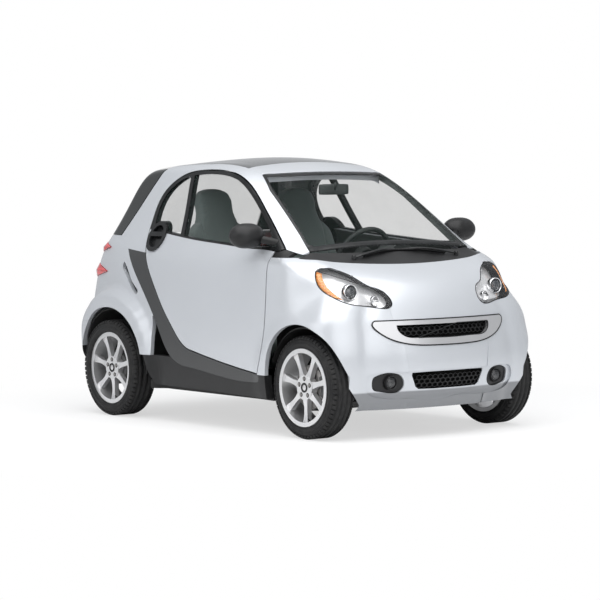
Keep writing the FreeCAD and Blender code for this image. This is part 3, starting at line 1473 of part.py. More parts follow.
def slot(hand):
    """Air slot behind the band, pointed at both ends."""
    points = [Vector(hand * SLOT_DEPTH_SHARE * HALF_WIDTH, y, z) for y, z in side_places(SLOT_SHARES)]
    curve = Part.BSplineCurve()
    curve.interpolate(points, True)
    face = Part.Face(Part.Wire([curve.toShape()]))
    return face.extrude(Vector(hand * HALF_WIDTH, 0, 0))


def bumper_box(gap):
    """The rear bumper's part of the tail."""
    z = BUMPER_TOP_SHARE * HEIGHT + gap
    return box(-WIDTH, WIDTH, REAR_AXLE_Y, LENGTH, 0, z)


def rear_skirt():
    """Rear bumper and valance in one, round both corners below the tailgate."""
    solid = tail_slab(25.6, LAST_ROW, 26, 3.0, 0.0, SKIN).common(bumper_box(0.0))
    front = REAR_AXLE_Y
    cutters = [arch_clearance(hand, REAR_AXLE_Y, REAR_TYRE_RADIUS, REAR_ARCH_RADIUS)
               for hand in (-1, 1)]
    side = tailgate_side() + MOVING_GAP
    z = TAILGATE_LOW_SHARE * HEIGHT - LID_GAP
    cutters.append(box(-side, side, 0, LENGTH, z, HEIGHT))
    cutters.append(box(-WIDTH, WIDTH, 0, front, 0, HEIGHT))
    return biggest(without(solid, cutters))


def rear_bumper():
    """Painted upper part of the rear bumper."""
    low = box(-WIDTH, WIDTH, 0, LENGTH, 0, VALANCE_SHARE * HEIGHT)
    return biggest(rear_skirt().cut(low))


def rear_valance():
    """Dark lower part of the rear bumper."""
    high = box(-WIDTH, WIDTH, 0, LENGTH, VALANCE_SHARE * HEIGHT - SEAM, HEIGHT)
    return biggest(rear_skirt().cut(high))


# Chassis


def inside_sides(gap):
    """Slabs outside the inner face of the side panels, for trimming boxes."""
    return [side_slab(SILL_Y, SILL_Z, -OVERRUN, OVERRUN + gap, hand) for hand in (-1, 1)]


def chassis():
    """Floor, front shelf, dash wall, rear bulkhead and deck as one piece."""
    floor_top = FLOOR_LEVEL + FLOOR_DEPTH
    dash_y = DASH_WALL_SHARE * HALF_LENGTH
    rear_y = BULKHEAD_SHARE * HALF_LENGTH
    nose_y = NOSE_BEAM_SHARE * HALF_LENGTH
    tail_y = TAIL_BEAM_SHARE * HALF_LENGTH
    floor = box(-HALF_WIDTH, HALF_WIDTH, dash_y, rear_y + WALL_DEPTH, FLOOR_LEVEL, floor_top)
    floor = without(floor, inside_sides(SILL_WALL + SEAM))
    parts = [floor,
             box(-FLOOR_HALF_WIDTH, FLOOR_HALF_WIDTH, dash_y, dash_y + WALL_DEPTH,
                 floor_top - 1, DASH_TOP_SHARE * HEIGHT),
             box(-DECK_HALF_WIDTH, DECK_HALF_WIDTH, rear_y, rear_y + WALL_DEPTH,
                 floor_top - 1, DECK_LEVEL),
             box(-DECK_HALF_WIDTH, DECK_HALF_WIDTH, rear_y, tail_y,
                 DECK_LEVEL - DECK_DEPTH, DECK_LEVEL),
             box(-RAIL_HALF_WIDTH, RAIL_HALF_WIDTH, nose_y, dash_y + 1,
                 RAIL_LEVEL, RAIL_LEVEL + RAIL_DEPTH),
             box(-DECK_HALF_WIDTH, DECK_HALF_WIDTH, tail_y - WALL_DEPTH, tail_y,
                 TAIL_BEAM_LEVEL, DECK_LEVEL),
             box(-TAIL_HALF_WIDTH, TAIL_HALF_WIDTH, tail_y - WALL_DEPTH, HALF_LENGTH,
                 TAIL_BEAM_LEVEL, TAIL_BEAM_LEVEL + TAIL_BEAM_DEPTH),
             box(-NOSE_HALF_WIDTH, NOSE_HALF_WIDTH, nose_y, nose_y + WALL_DEPTH,
                 RAIL_LEVEL, NOSE_TOP_SHARE * HEIGHT)]
    parts += seat_bases(floor_top)
    parts += hinge_brackets(-1) + hinge_brackets(1)
    body = joined(parts)
    nose = nose_slab(0.0, 11.4, 36, 3.0, -OVERRUN * 2, OVERRUN * 2 + SKIN + SEAM)
    tail = tail_slab(25.6, LAST_ROW, 26, 2.0, -OVERRUN, OVERRUN + SKIN + SEAM)
    return biggest(without(body, [nose, tail]))


def liner_shell(hand, inner, outer, radius, y, z):
    """Half tunnel over a wheel, closed on its inner side round the axle."""
    start = Vector(hand * inner, y, z)
    shell = rod(radius + LINER_WALL, start, start + Vector(hand * (outer - inner), 0, 0))
    room = rod(radius, start + Vector(hand * LINER_WALL, 0, 0), start + Vector(hand * outer, 0, 0))
    window = box(-HALF_WIDTH, HALF_WIDTH, y - LINER_WINDOW, y + LINER_WINDOW, 0,
                 z + LINER_WINDOW * 2)
    low = box(-WIDTH, WIDTH, -LENGTH, LENGTH, 0, z - LINER_DROP)
    return without(shell, [room, window, low])


def front_liner(hand):
    """Liner over a front wheel, from behind the nose to the dash wall."""
    shell = liner_shell(hand, FRONT_LINER_INNER, FRONT_LINER_OUTER, FRONT_LINER_RADIUS,
                        FRONT_AXLE_Y, FRONT_TYRE_RADIUS)
    inset = POD_RECESS + SKIN + SEAM
    outside = nose_slab(0.0, 11.6, 30, 3.0, -OVERRUN * 2, OVERRUN * 2 + inset)
    behind = box(-WIDTH, WIDTH, DASH_WALL_SHARE * HALF_LENGTH - SEAM, LENGTH, 0, HEIGHT)
    x, z = front_places((FOG_LAMP_SHARES,), hand)[0]
    lamp = rod(FOG_LAMP_RADIUS + TYRE_ROOM, Vector(x, -HALF_LENGTH, z), Vector(x, FRONT_AXLE_Y, z))
    return biggest(without(shell, [outside, behind, lamp]))


def rear_liner(hand):
    """Liner over a rear wheel, against the side of the deck."""
    shell = liner_shell(hand, DECK_HALF_WIDTH + SEAM, REAR_LINER_OUTER, REAR_LINER_RADIUS,
                        REAR_AXLE_Y, REAR_TYRE_RADIUS)
    outside = corner_slab(hand, 23.0, LAST_ROW, -OVERRUN * 2, OVERRUN * 2 + SKIN + SEAM)
    return biggest(without(shell, [outside]))


def seat_bases(level):
    """Boxes that carry the seats."""
    bases = []
    for hand in (-1, 1):
        x = hand * SEAT_SPACING / 2
        half = SEAT_WIDTH * 0.36
        y = SEAT_BACK_SHARE * HALF_LENGTH
        bases.append(box(x - half, x + half, y - SEAT_LENGTH * 0.85, y - SEAT_LENGTH * 0.1,
                         level - 1, SEAT_LEVEL - SEAT_DEPTH - SEAT_CLEARANCE))
    return bases


def engine():
    """Plain block of the engine and gearbox behind the seats."""
    y = BULKHEAD_SHARE * HALF_LENGTH + WALL_DEPTH + SEAM
    return box(-ENGINE_WIDTH / 2, ENGINE_WIDTH / 2, y, y + ENGINE_LENGTH,
               FLOOR_LEVEL, FLOOR_LEVEL + ENGINE_HEIGHT)


def front_axle():
    """Pairs of arms from the rails to the kingpins."""
    y = FRONT_AXLE_Y
    z = FRONT_TYRE_RADIUS
    half = ARM_WIDTH / 2
    reach = FRONT_TRACK / 2
    level = KINGPIN_HEIGHT / 2
    arms = []
    for low in (z - level - ARM_DEPTH, z + level):
        arms.append(box(-reach, reach, y - half, y + half, low, low + ARM_DEPTH))
        for x in (-reach, reach):
            arms.append(rod(KNUCKLE_RADIUS, Vector(x, y, low), Vector(x, y, low + ARM_DEPTH)))
    for hand in (-1, 1):
        inner = hand * (RAIL_HALF_WIDTH + SEAM)
        outer = hand * (RAIL_HALF_WIDTH + SEAM + ARM_WIDTH)
        arms.append(box(min(inner, outer), max(inner, outer), y - half, y + half,
                        z - level - 1, z + level + 1))
    return joined(arms)


def rear_axle():
    """Tube between the rear wheels with its two trailing arms."""
    y = REAR_AXLE_Y
    z = REAR_TYRE_RADIUS
    end = REAR_TRACK / 2 + HUB_FACE - SEAM
    tube = rod(AXLE_TUBE_RADIUS, Vector(-end, y, z), Vector(end, y, z))
    front = BULKHEAD_SHARE * HALF_LENGTH + WALL_DEPTH + SEAM
    arms = [tube]
    for hand in (-1, 1):
        x = hand * (DECK_HALF_WIDTH - ARM_WIDTH)
        arms.append(box(x - ARM_WIDTH / 2, x + ARM_WIDTH / 2, front, y, z - ARM_DEPTH / 2,
                        z + ARM_DEPTH / 2))
    return joined(arms)


def knuckle(hand):
    """Steered upright with its kingpin and the wheel's spindle."""
    x = hand * FRONT_TRACK / 2
    centre = Vector(x, FRONT_AXLE_Y, FRONT_TYRE_RADIUS)
    half = KINGPIN_HEIGHT / 2 - SEAM
    pin = rod(KNUCKLE_RADIUS, centre - Vector(0, 0, half), centre + Vector(0, 0, half))
    spindle = rod(AXLE_TUBE_RADIUS, centre, centre + Vector(hand * (HUB_FACE - SEAM), 0, 0))
    return joined([pin, spindle])


# Wheels


def turned(points, hand):
    """Solid turned about the wheel's axis from (across, radius) points."""
    corners = [Vector(hand * x, 0, r) for x, r in points]
    corners.append(corners[0])
    face = Part.Face(Part.makePolygon(corners))
    solid = face.revolve(Vector(0, 0, 0), Vector(1, 0, 0), 360)
    if solid.Volume < 0:
        solid.reverse()
    return solid


def tyre(place, width, radius, rim_half):
    """Tyre with rounded shoulders on its rim seat."""
    half = width / 2
    seat = rim_half - RIM_LIP_WIDTH - TYRE_SEAT_GAP
    bed = RIM_BED_RADIUS + RIM_WALL + TYRE_SEAT_GAP
    lip = RIM_LIP_RADIUS + TYRE_SEAT_GAP
    bend = TYRE_SHOULDER * 0.3
    side = [(seat, bed), (seat, lip), (half - bend, lip + 2 * bend), (half, lip + 5 * bend),
            (half, radius - TYRE_SHOULDER), (half - bend, radius - bend), (half - TYRE_SHOULDER, radius)]
    points = side + [(-x, r) for x, r in reversed(side)]
    solid = turned(points, 1)
    solid.translate(place)
    return solid


def wheel_spoke(hand, face):
    """One spoke: waisted as seen from the side of the car, dished and crowned."""
    low = HUB_RADIUS * 0.6
    high = RIM_BED_RADIUS + RIM_WALL / 2
    middle = (low + high) / 2
    widths = (SPOKE_ROOT_WIDTH / 2, SPOKE_WAIST / 2, SPOKE_TIP_WIDTH / 2)
    levels = (low, middle, high)
    right = list(zip(widths, levels))
    left = [(-w, r) for w, r in reversed(right)]
    runs = [right, [right[-1], left[0]], left, [left[-1], right[0]]]
    outline = prism(runs, "x", min(0, hand * face), max(0, hand * face))
    depths = (face, face - SPOKE_DISH, face - SPOKE_DISH / 2)
    front = [(hand * d, r) for d, r in zip(depths, levels)]
    rear = [(hand * (d - SPOKE_DEPTH), r) for d, r in zip(depths, levels)][::-1]
    side = prism([front, [front[-1], rear[0]], rear, [rear[-1], front[0]]], "y",
                 -SPOKE_ROOT_WIDTH, SPOKE_ROOT_WIDTH)
    return outline.common(side)


def rim(place, hand, rim_half):
    """Wheel rim: barrel with two lips, seven spokes and a hub."""
    lip = RIM_LIP_RADIUS
    bed = RIM_BED_RADIUS + RIM_WALL
    edge = rim_half - RIM_LIP_WIDTH
    points = [(-rim_half, RIM_BED_RADIUS), (rim_half, RIM_BED_RADIUS), (rim_half, lip), (edge, lip),
              (edge, bed), (-edge, bed), (-edge, lip), (-rim_half, lip)]
    parts = [turned(points, 1)]
    face = rim_half - RIM_INSET
    parts.append(rod(HUB_RADIUS, Vector(hand * (face - HUB_DEPTH), 0, 0), Vector(hand * face, 0, 0)))
    spoke = wheel_spoke(hand, face)
    for i in range(SPOKE_COUNT):
        turn = spoke.copy()
        turn.rotate(Vector(0, 0, 0), Vector(1, 0, 0), 180.0 + 360.0 * i / SPOKE_COUNT)
        parts.append(turn)
    solid = joined(parts)
    bore = rod(AXLE_TUBE_RADIUS + 3, Vector(-hand * rim_half, 0, 0), Vector(hand * HUB_FACE, 0, 0))
    solid = solid.cut(bore)
    solid.translate(place)
    return solid


# Cabin


def seat_cushion(hand):
    """Seat cushion with rounded edges, a little higher at the front."""
    half = SEAT_WIDTH / 2
    y = SEAT_BACK_SHARE * HALF_LENGTH
    low = SEAT_LEVEL - SEAT_DEPTH
    outline = [(y - SEAT_LENGTH, low), (y + BACK_DEPTH / 2, low), (y + BACK_DEPTH / 2, SEAT_LEVEL),
               (y - SEAT_LENGTH, SEAT_LEVEL + SEAT_RISE)]
    solid = prism(polygon(outline), "x", -half, half)
    solid = solid.makeFillet(SEAT_EDGE, [e for e in solid.Edges if e.CenterOfMass.z > low + 1])
    foot = box(-half, half, y - SEAT_CLEARANCE, y + BACK_DEPTH, SEAT_LEVEL, 2 * SEAT_LEVEL)
    solid = biggest(solid.cut(foot))
    solid.translate(Vector(hand * SEAT_SPACING / 2, 0, 0))
    return solid


def seat_back(hand):
    """Leaning seat back that narrows to its headrest, in one piece."""
    y = SEAT_BACK_SHARE * HALF_LENGTH
    low = SEAT_LEVEL + SEAT_CLEARANCE
    top = SEAT_LEVEL - SEAT_DEPTH + BACK_HEIGHT
    lean = math.tan(math.radians(BACK_LEAN)) * (top - low)
    side = [(y, low), (y + BACK_DEPTH, low), (y + BACK_DEPTH + lean, top),
            (y + lean + BACK_DEPTH * BACK_TOP_SHARE, top)]
    solid = prism(polygon(side), "x", -SEAT_WIDTH, SEAT_WIDTH)
    half = [(share * (HEADREST_WIDTH if level > HEADREST_SHARE else SEAT_WIDTH), low + level * (top - low))
            for share, level in BACK_FRONT_SHARES]
    run = half + [(-x, z) for x, z in reversed(half[:-1])]
    front = prism([run, [run[-1], run[0]]], "y", 0, LENGTH / 2)
    solid = solid.common(front)
    solid.translate(Vector(hand * SEAT_SPACING / 2, 0, 0))
    return solid


def dashboard():
    """Dashboard across the cabin."""
    front = DASH_WALL_SHARE * HALF_LENGTH + WALL_DEPTH + SEAM
    z = DASH_TOP_SHARE * HEIGHT
    outline = [(front, z), (front, z - DASH_DEPTH), (front + DASH_LENGTH * 0.6, z - DASH_DEPTH),
               (front + DASH_LENGTH, z - DASH_DEPTH * 0.5), (front + DASH_LENGTH * 0.9, z)]
    return prism(polygon(outline), "x", -DASH_HALF_WIDTH, DASH_HALF_WIDTH)


def dial_hood():
    """Hood over the dials, on top of the dashboard ahead of the driver."""
    y = DASH_WALL_SHARE * HALF_LENGTH + WALL_DEPTH + SEAM + DASH_LENGTH / 4
    start = Vector(SEAT_SPACING / 2, y, DASH_TOP_SHARE * HEIGHT)
    hood = rod(DIAL_HOOD_RADIUS, start, start + Vector(0, DIAL_HOOD_LENGTH, 0))
    return hood


def steering_wheel():
    """Steering wheel with its column, ahead of the left seat."""
    x = SEAT_SPACING / 2
    y = DASH_WALL_SHARE * HALF_LENGTH + WALL_DEPTH + DASH_LENGTH + COLUMN_LENGTH
    z = DASH_TOP_SHARE * HEIGHT + WHEEL_RISE
    centre = Vector(x, y, z)
    tilt = math.radians(COLUMN_TILT)
    axis = Vector(0, math.cos(tilt), math.sin(tilt))
    ring = Part.makeTorus(STEERING_WHEEL_RADIUS, STEERING_RIM_RADIUS, centre, axis)
    hub = rod(HUB_RADIUS, centre - axis * STEERING_RIM_RADIUS * 2, centre + axis * STEERING_RIM_RADIUS)
    half = WHEEL_SPOKE_WIDTH / 2
    deep = WHEEL_SPOKE_DEPTH / 2
    reach = STEERING_WHEEL_RADIUS
    spokes = [box(-reach, reach, -deep, deep, -half, half), box(-half, half, -deep, deep, -reach, 0)]
    for spoke in spokes:
        spoke.rotate(Vector(0, 0, 0), Vector(1, 0, 0), COLUMN_TILT)
        spoke.translate(centre)
    column = rod(COLUMN_RADIUS, centre, centre - axis * (COLUMN_LENGTH * 2))
    pieces = [ring, hub, column] + spokes
    return biggest(joined(pieces).cut(dashboard()))


def wheel_places():
    """Name, centre and sizes of each wheel."""
    for name, hand in (("right", -1), ("left", 1)):
        front = Vector(hand * FRONT_TRACK / 2, FRONT_AXLE_Y, FRONT_TYRE_RADIUS)
        rear = Vector(hand * REAR_TRACK / 2, REAR_AXLE_Y, REAR_TYRE_RADIUS)
        yield "front_" + name, hand, front, FRONT_TYRE_WIDTH, FRONT_TYRE_RADIUS, FRONT_RIM_HALF
        yield "rear_" + name, hand, rear, REAR_TYRE_WIDTH, REAR_TYRE_RADIUS, REAR_RIM_HALF


def make_pieces():
    """Every piece of the car by name, as functions that build it."""
    makers = {}
    for name, hand in (("right", -1), ("left", 1)):
        makers["door_" + name] = lambda hand=hand: door(hand)
        makers["window_frame_" + name] = lambda hand=hand: window_frame(hand)
        makers["door_glass_" + name] = lambda hand=hand: door_glass(hand)
        makers["mirror_" + name] = lambda hand=hand: mirror(hand)
        makers["side_band_" + name] = lambda hand=hand: side_band(hand)
        makers["sill_" + name] = lambda hand=hand: sill(hand)
        makers["safety_cell_" + name] = lambda hand=hand: safety_cell(hand)
        makers["front_fender_" + name] = lambda hand=hand: front_fender(hand)
        makers["rear_fender_" + name] = lambda hand=hand: rear_fender(hand)
        makers["knuckle_" + name] = lambda hand=hand: knuckle(hand)
    makers["windscreen"] = windscreen
    makers["roof_header"] = roof_header
    makers["roof_panel"] = roof_panel
    makers["cowl"] = cowl
    makers["front_bumper"] = front_bumper
    makers["grille_surround"] = grille_surround
    makers["grille_meshes"] = grille_meshes
    makers["service_panel"] = service_panel
    makers["headlamps"] = lambda: Part.makeCompound([headlamp(-1), headlamp(1)])
    makers["fog_pods"] = lambda: Part.makeCompound([fog_pod(-1), fog_pod(1)])
    makers["fog_lamps"] = lambda: Part.makeCompound([fog_lamp(-1), fog_lamp(1)])
    makers["rear_bumper"] = rear_bumper
    makers["rear_valance"] = rear_valance
    makers["tailgate"] = tailgate
    makers["rear_window"] = rear_window
    makers["tail_lamps"] = lambda: Part.makeCompound([
        tail_lamp(hand, shares) for hand in (-1, 1)
        for shares in (TAIL_LAMP_HIGH_SHARES, TAIL_LAMP_LOW_SHARES)])
    makers["chassis"] = chassis
    makers["wheel_liners"] = lambda: Part.makeCompound(
        [liner(hand) for liner in (front_liner, rear_liner) for hand in (-1, 1)])
    makers["engine"] = engine
    makers["front_axle"] = front_axle
    makers["rear_axle"] = rear_axle
    makers["seat_cushions"] = lambda: Part.makeCompound([seat_cushion(-1), seat_cushion(1)])
    makers["seat_backs"] = lambda: Part.makeCompound([seat_back(-1), seat_back(1)])
    makers["dashboard"] = lambda: joined([dashboard(), dial_hood()])
    makers["steering_wheel"] = steering_wheel
    for name, hand, place, width, radius, half in wheel_places():
        makers["tyre_" + name] = lambda p=place, w=width, r=radius, h=half: tyre(p, w, r, h)
        makers["rim_" + name] = lambda p=place, s=hand, h=half: rim(p, s, h)
    return makers


def main():
    os.makedirs("parts", exist_ok=True)
    for name, maker in make_pieces().items():
        shape = maker()
        print(name, shape.isValid(), len(shape.Solids), round(shape.Volume / 1e6, 3))
        shape.exportStep("parts/" + name + ".step")


if __name__ == "__main__":
    main()
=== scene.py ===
"""A two-seat microcar: its paint, glass, lamps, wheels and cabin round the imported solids."""

import logging
import math
from dataclasses import dataclass, field
from enum import Enum
from typing import Any, Callable, Optional, Sequence, Union

import bmesh
import bpy
from mathutils import Matrix, Vector
from mathutils.bvhtree import BVHTree


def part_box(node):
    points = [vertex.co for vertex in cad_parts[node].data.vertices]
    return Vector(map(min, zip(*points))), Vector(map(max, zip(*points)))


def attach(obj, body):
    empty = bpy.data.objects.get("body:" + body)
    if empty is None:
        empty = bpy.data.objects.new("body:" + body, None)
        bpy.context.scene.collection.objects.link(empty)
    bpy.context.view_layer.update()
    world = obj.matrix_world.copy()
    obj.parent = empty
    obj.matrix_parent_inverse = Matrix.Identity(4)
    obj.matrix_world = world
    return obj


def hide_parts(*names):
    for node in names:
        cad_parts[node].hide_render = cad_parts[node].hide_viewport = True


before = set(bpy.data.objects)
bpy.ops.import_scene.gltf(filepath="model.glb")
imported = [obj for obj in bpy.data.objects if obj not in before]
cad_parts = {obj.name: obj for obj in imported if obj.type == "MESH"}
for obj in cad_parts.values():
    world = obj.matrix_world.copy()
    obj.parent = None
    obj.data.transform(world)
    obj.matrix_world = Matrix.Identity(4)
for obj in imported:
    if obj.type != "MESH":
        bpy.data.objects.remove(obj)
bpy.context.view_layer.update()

log = logging.getLogger("microcar")

Number = Union[int, float]
Point = tuple[float, float, float]
Outline = Sequence[tuple[float, float]]
Material = bpy.types.Material
Object = bpy.types.Object

SIDES = (("right", -1), ("left", 1))
AHEAD = Vector((0, -1, 0))
BACK = Vector((0, 1, 0))
UP = Vector((0, 0, 1))

# How far from the car the rays that look for its surface start
RAY_START = 3.0

# An outer rim turns by more than this angle and lies between faces on either side of this slant
RIM_ANGLE = math.radians(35.0)
RIM_SLANT = 0.04

# Beads of sealing rubber
BEAD_STEP = 0.010
BEAD_SIDES = 8

# Printed border of a pane
PRINT_STEP = 0.012
PRINT_ROWS = 4
PRINT_INSET = 0.002
PRINT_VIEW = 0.3
PRINT_RISE = 0.0004
PRINT_THICKNESS = 0.0005


# Shader building


class Socket:
    """An output of a shader node, with arithmetic that adds Math nodes."""

    def __init__(self, shader: "Shader", output: Optional[bpy.types.NodeSocket]) -> None:
        """Keep the shader and the node's output."""
        self.shader = shader
        self.output = output

    def _math(self, operation: str, *values: Union["Socket", Number]) -> "Socket":
        """Add one Math node on the values and return its result."""
        inputs = dict(enumerate(values))
        return self.shader.add("ShaderNodeMath", {"operation": operation}, inputs)

    def __add__(self, other: Union["Socket", Number]) -> "Socket":
        """Sum."""
        return self._math("ADD", self, other)

    __radd__ = __add__

    def __sub__(self, other: Union["Socket", Number]) -> "Socket":
        """Difference."""
        return self._math("SUBTRACT", self, other)

    def __rsub__(self, other: Number) -> "Socket":
        """Difference from a number."""
        return self._math("SUBTRACT", other, self)

    def __mul__(self, other: Union["Socket", Number]) -> "Socket":
        """Product."""
        return self._math("MULTIPLY", self, other)

    __rmul__ = __mul__

    def between(self, low: Number, high: Number) -> "Socket":
        """Soft step from 0 at low to 1 at high."""
        settings = {"interpolation_type": "SMOOTHSTEP"}
        inputs = {"Value": self, "From Min": low, "From Max": high}
        return self.shader.add("ShaderNodeMapRange", settings, inputs)

    def sine(self) -> "Socket":
        """Sine in radians."""
        return self._math("SINE", self)

    def size(self) -> "Socket":
        """Value without its sign."""
        return self._math("ABSOLUTE", self)

    def least(self, other: Union["Socket", Number]) -> "Socket":
        """Smaller of two."""
        return self._math("MINIMUM", self, other)


def add_node(tree: bpy.types.NodeTree, kind: str, settings: dict, inputs: dict) -> bpy.types.Node:
    """Add a node to a tree.

    Args:
        tree: the tree.
        kind: the node's type.
        settings: attributes, set first.
        inputs: socket name or number to a value, an output or a Socket.

    Returns:
        The node.
    """
    node = tree.nodes.new(kind)
    for key, value in settings.items():
        setattr(node, key, value)
    for key, value in inputs.items():
        value = value.output if isinstance(value, Socket) else value
        if isinstance(value, bpy.types.NodeSocket):
            tree.links.new(value, node.inputs[key])
        else:
            node.inputs[key].default_value = value
    return node


class Shader:
    """The nodes of one material or world."""

    def __init__(self, name: str, owner: Optional[bpy.types.ID] = None) -> None:
        """Empty the owner's nodes, or those of a new material of that name."""
        self.material = owner or bpy.data.materials.new(name)
        self.material.use_nodes = True
        self.tree = self.material.node_tree
        self.tree.nodes.clear()

    def add(
        self,
        kind: str,
        settings: Optional[dict] = None,
        inputs: Optional[dict] = None,
        output: Union[int, str] = 0,
    ) -> Socket:
        """Add a node.

        Args:
            kind: the node's type.
            settings: attributes to set first.
            inputs: socket name or number to a value or a Socket.
            output: name or number of the output to return.

        Returns:
            The wrapped output.
        """
        node = add_node(self.tree, kind, settings or {}, inputs or {})
        return Socket(self, node.outputs[output] if node.outputs else None)

    def place(self, axis: Optional[str] = None) -> Socket:
        """Object coordinates, or one axis of them."""
        coordinates = self.add("ShaderNodeTexCoord", output="Object")
        if axis is None:
            return coordinates
        return self.add("ShaderNodeSeparateXYZ", {}, {"Vector": coordinates}, axis)

    def noise(self, scale: float, detail: float = 3.0, rough: float = 0.5) -> Socket:
        """Noise from 0 to 1 at a scale per metre."""
        inputs = {"Vector": self.place(), "Scale": scale, "Detail": detail, "Roughness": rough}
        return self.add("ShaderNodeTexNoise", {}, inputs, "Fac")

    def mix(
        self, share: Socket, low: Union[Socket, Sequence[float]], high: Union[Socket, Sequence[float]]
    ) -> Socket:
        """Blend two colours by a share."""
        settings = {"data_type": "RGBA"}
        inputs = {0: share, 6: colour(low), 7: colour(high)}
        return self.add("ShaderNodeMix", settings, inputs, 2)

    def bump(self, height: Socket, strength: float, distance: float) -> Socket:
        """Normal bent by a height."""
        inputs = {"Height": height, "Strength": strength, "Distance": distance}
        return self.add("ShaderNodeBump", {}, inputs)

    def finish(self, surface: Socket) -> Material:
        """Wire the surface to the output and return the material."""
        self.add("ShaderNodeOutputMaterial", {}, {"Surface": surface})
        return self.material

    def principled(self, **values: Union[Socket, Number, Sequence]) -> Socket:
        """Principled surface with sockets named with underscores."""
        inputs = {key.replace("_", " "): value for key, value in values.items()}
        return self.add("ShaderNodeBsdfPrincipled", {}, inputs)


def colour(values: Union[Socket, Sequence[float]]) -> Union[Socket, tuple]:
    """Colour with its alpha, or a socket as it is."""
    return values if isinstance(values, Socket) else (values[0], values[1], values[2], 1.0)


# Finishes


class Gloss(Enum):
    """How a moulded or painted surface takes the light."""

    MATTE = 0.62
    SATIN = 0.42
    GLOSSY = 0.22


@dataclass(frozen=True)
class Paint:
    """Car paint: a metallic or plain base under clear lacquer, with an optional painted shade that darkens
    the base below a height.
    """

    name: str
    base: Point
    metallic: float = 0.0
    roughness: float = 0.35
    flake: float = 0.0
    lacquer: float = 1.0
    # Painted shade: the height below which the base is darkened, how far it is darkened and the half width of
    # the soft edge
    painted_shade_height: float = 0.0
    painted_shade_factor: float = 0.36
    painted_shade_fade: float = 0.006

    def material(self) -> Material:
        """Build the paint.

        Returns:
            Material with flakes, slight tone variation and orange peel, and a painted shade below the set
            height.
        """
        shader = Shader(self.name)
        tone = shader.noise(2.3, 2.0).between(0.25, 0.8)
        low = [channel * 0.965 for channel in self.base]
        shade = shader.mix(tone, low, self.base)
        # Painted shade: darken the base below the set height, standing in for the shade on the
        # downward-facing lower lip; the mask 'under' picks that zone
        if self.painted_shade_height:
            ends = self.painted_shade_height - self.painted_shade_fade, self.painted_shade_height + self.painted_shade_fade
            under = 1.0 - shader.place("Z").between(*ends)
            shade = shader.mix(under, shade, [channel * self.painted_shade_factor for channel in self.base])
        flakes = shader.noise(1400.0, 1.0)
        rough = flakes * self.flake + (self.roughness - self.flake / 2)
        peel = shader.bump(shader.noise(130.0, 1.0), 0.035, 0.0006)
        surface = shader.principled(
            Base_Color=shade,
            Metallic=self.metallic,
            Roughness=rough,
            Coat_Weight=self.lacquer,
            Coat_Roughness=0.13,
            Normal=peel,
        )
        return shader.finish(surface)


@dataclass(frozen=True)
class Plastic:
    """Moulded plastic with a fine grain."""

    name: str
    base: Point
    gloss: Gloss = Gloss.MATTE
    grain: float = 0.25
    grain_scale: float = 900.0
    shine: float = 0.30

    def material(self) -> Material:
        """Build the plastic.

        Returns:
            Material with grain, handling wear and faint dust.
        """
        shader = Shader(self.name)
        wear = shader.noise(9.0, 4.0).between(0.35, 0.75)
        dust = shader.mix(wear, self.base, [channel * 1.35 + 0.004 for channel in self.base])
        rough = wear * 0.10 + (self.gloss.value - 0.04)
        grain = shader.bump(shader.noise(self.grain_scale, 2.0), self.grain, 0.0004)
        surface = shader.principled(
            Base_Color=dust, Roughness=rough, Specular_IOR_Level=self.shine, Normal=grain
        )
        return shader.finish(surface)


@dataclass(frozen=True)
class Metal:
    """Cast, brushed or bright metal."""

    name: str
    base: Point
    roughness: float = 0.3
    mottle: float = 0.08
    grain_scale: float = 320.0
    grain: float = 0.05

    def material(self) -> Material:
        """Build the metal.

        Returns:
            Material whose tone and roughness drift a little.
        """
        shader = Shader(self.name)
        drift = shader.noise(14.0, 4.0)
        low = [channel * (1.0 - self.mottle) for channel in self.base]
        tone = shader.mix(drift, low, self.base)
        rough = drift * self.mottle + self.roughness
        grain = shader.bump(shader.noise(self.grain_scale, 3.0), self.grain, 0.0005)
        surface = shader.principled(Base_Color=tone, Metallic=1.0, Roughness=rough, Normal=grain)
        return shader.finish(surface)


@dataclass(frozen=True)
class Rubber:
    """Tyre rubber with mottled dust."""

    name: str
    base: Point = (0.008, 0.008, 0.0085)

    def material(self) -> Material:
        """Build the rubber.

        Returns:
            Material with mottled dust and a faint moulded texture.
        """
        shader = Shader(self.name)
        dust = shader.noise(26.0, 5.0, 0.6).between(0.35, 0.8)
        shade = shader.mix(dust, self.base, (0.026, 0.0255, 0.025))
        rough = dust * 0.16 + 0.62
        cast = shader.bump(shader.noise(420.0, 3.0), 0.22, 0.0005)
        surface = shader.principled(
            Base_Color=shade, Roughness=rough, Specular_IOR_Level=0.3, Normal=cast
        )
        return shader.finish(surface)


@dataclass(frozen=True)
class Glass:
    """Thin pane that shows what is behind it."""

    name: str
    tint: Point
    veil: float
    rim: float = 0.55
    roughness: float = 0.02
    printed: float = 0.0
    print_fade: float = 0.01

    def material(self) -> Material:
        """Build the pane.

        Returns:
            Material that grows denser where it is seen edge on.
        """
        shader = Shader(self.name)
        facing = shader.add("ShaderNodeLayerWeight", {}, {"Blend": 0.25}, "Facing")
        smear = shader.noise(5.0, 3.0).between(0.3, 0.9) * 0.02
        alpha = facing * self.rim + self.veil + smear
        if self.printed:
            ends = self.printed - self.print_fade, self.printed + self.print_fade
            alpha = alpha + shader.place("X").size().between(*ends)
        surface = shader.principled(
            Base_Color=colour(self.tint),
            Roughness=self.roughness,
            Alpha=alpha.least(1.0),
            IOR=1.5,
        )
        return shader.finish(surface)


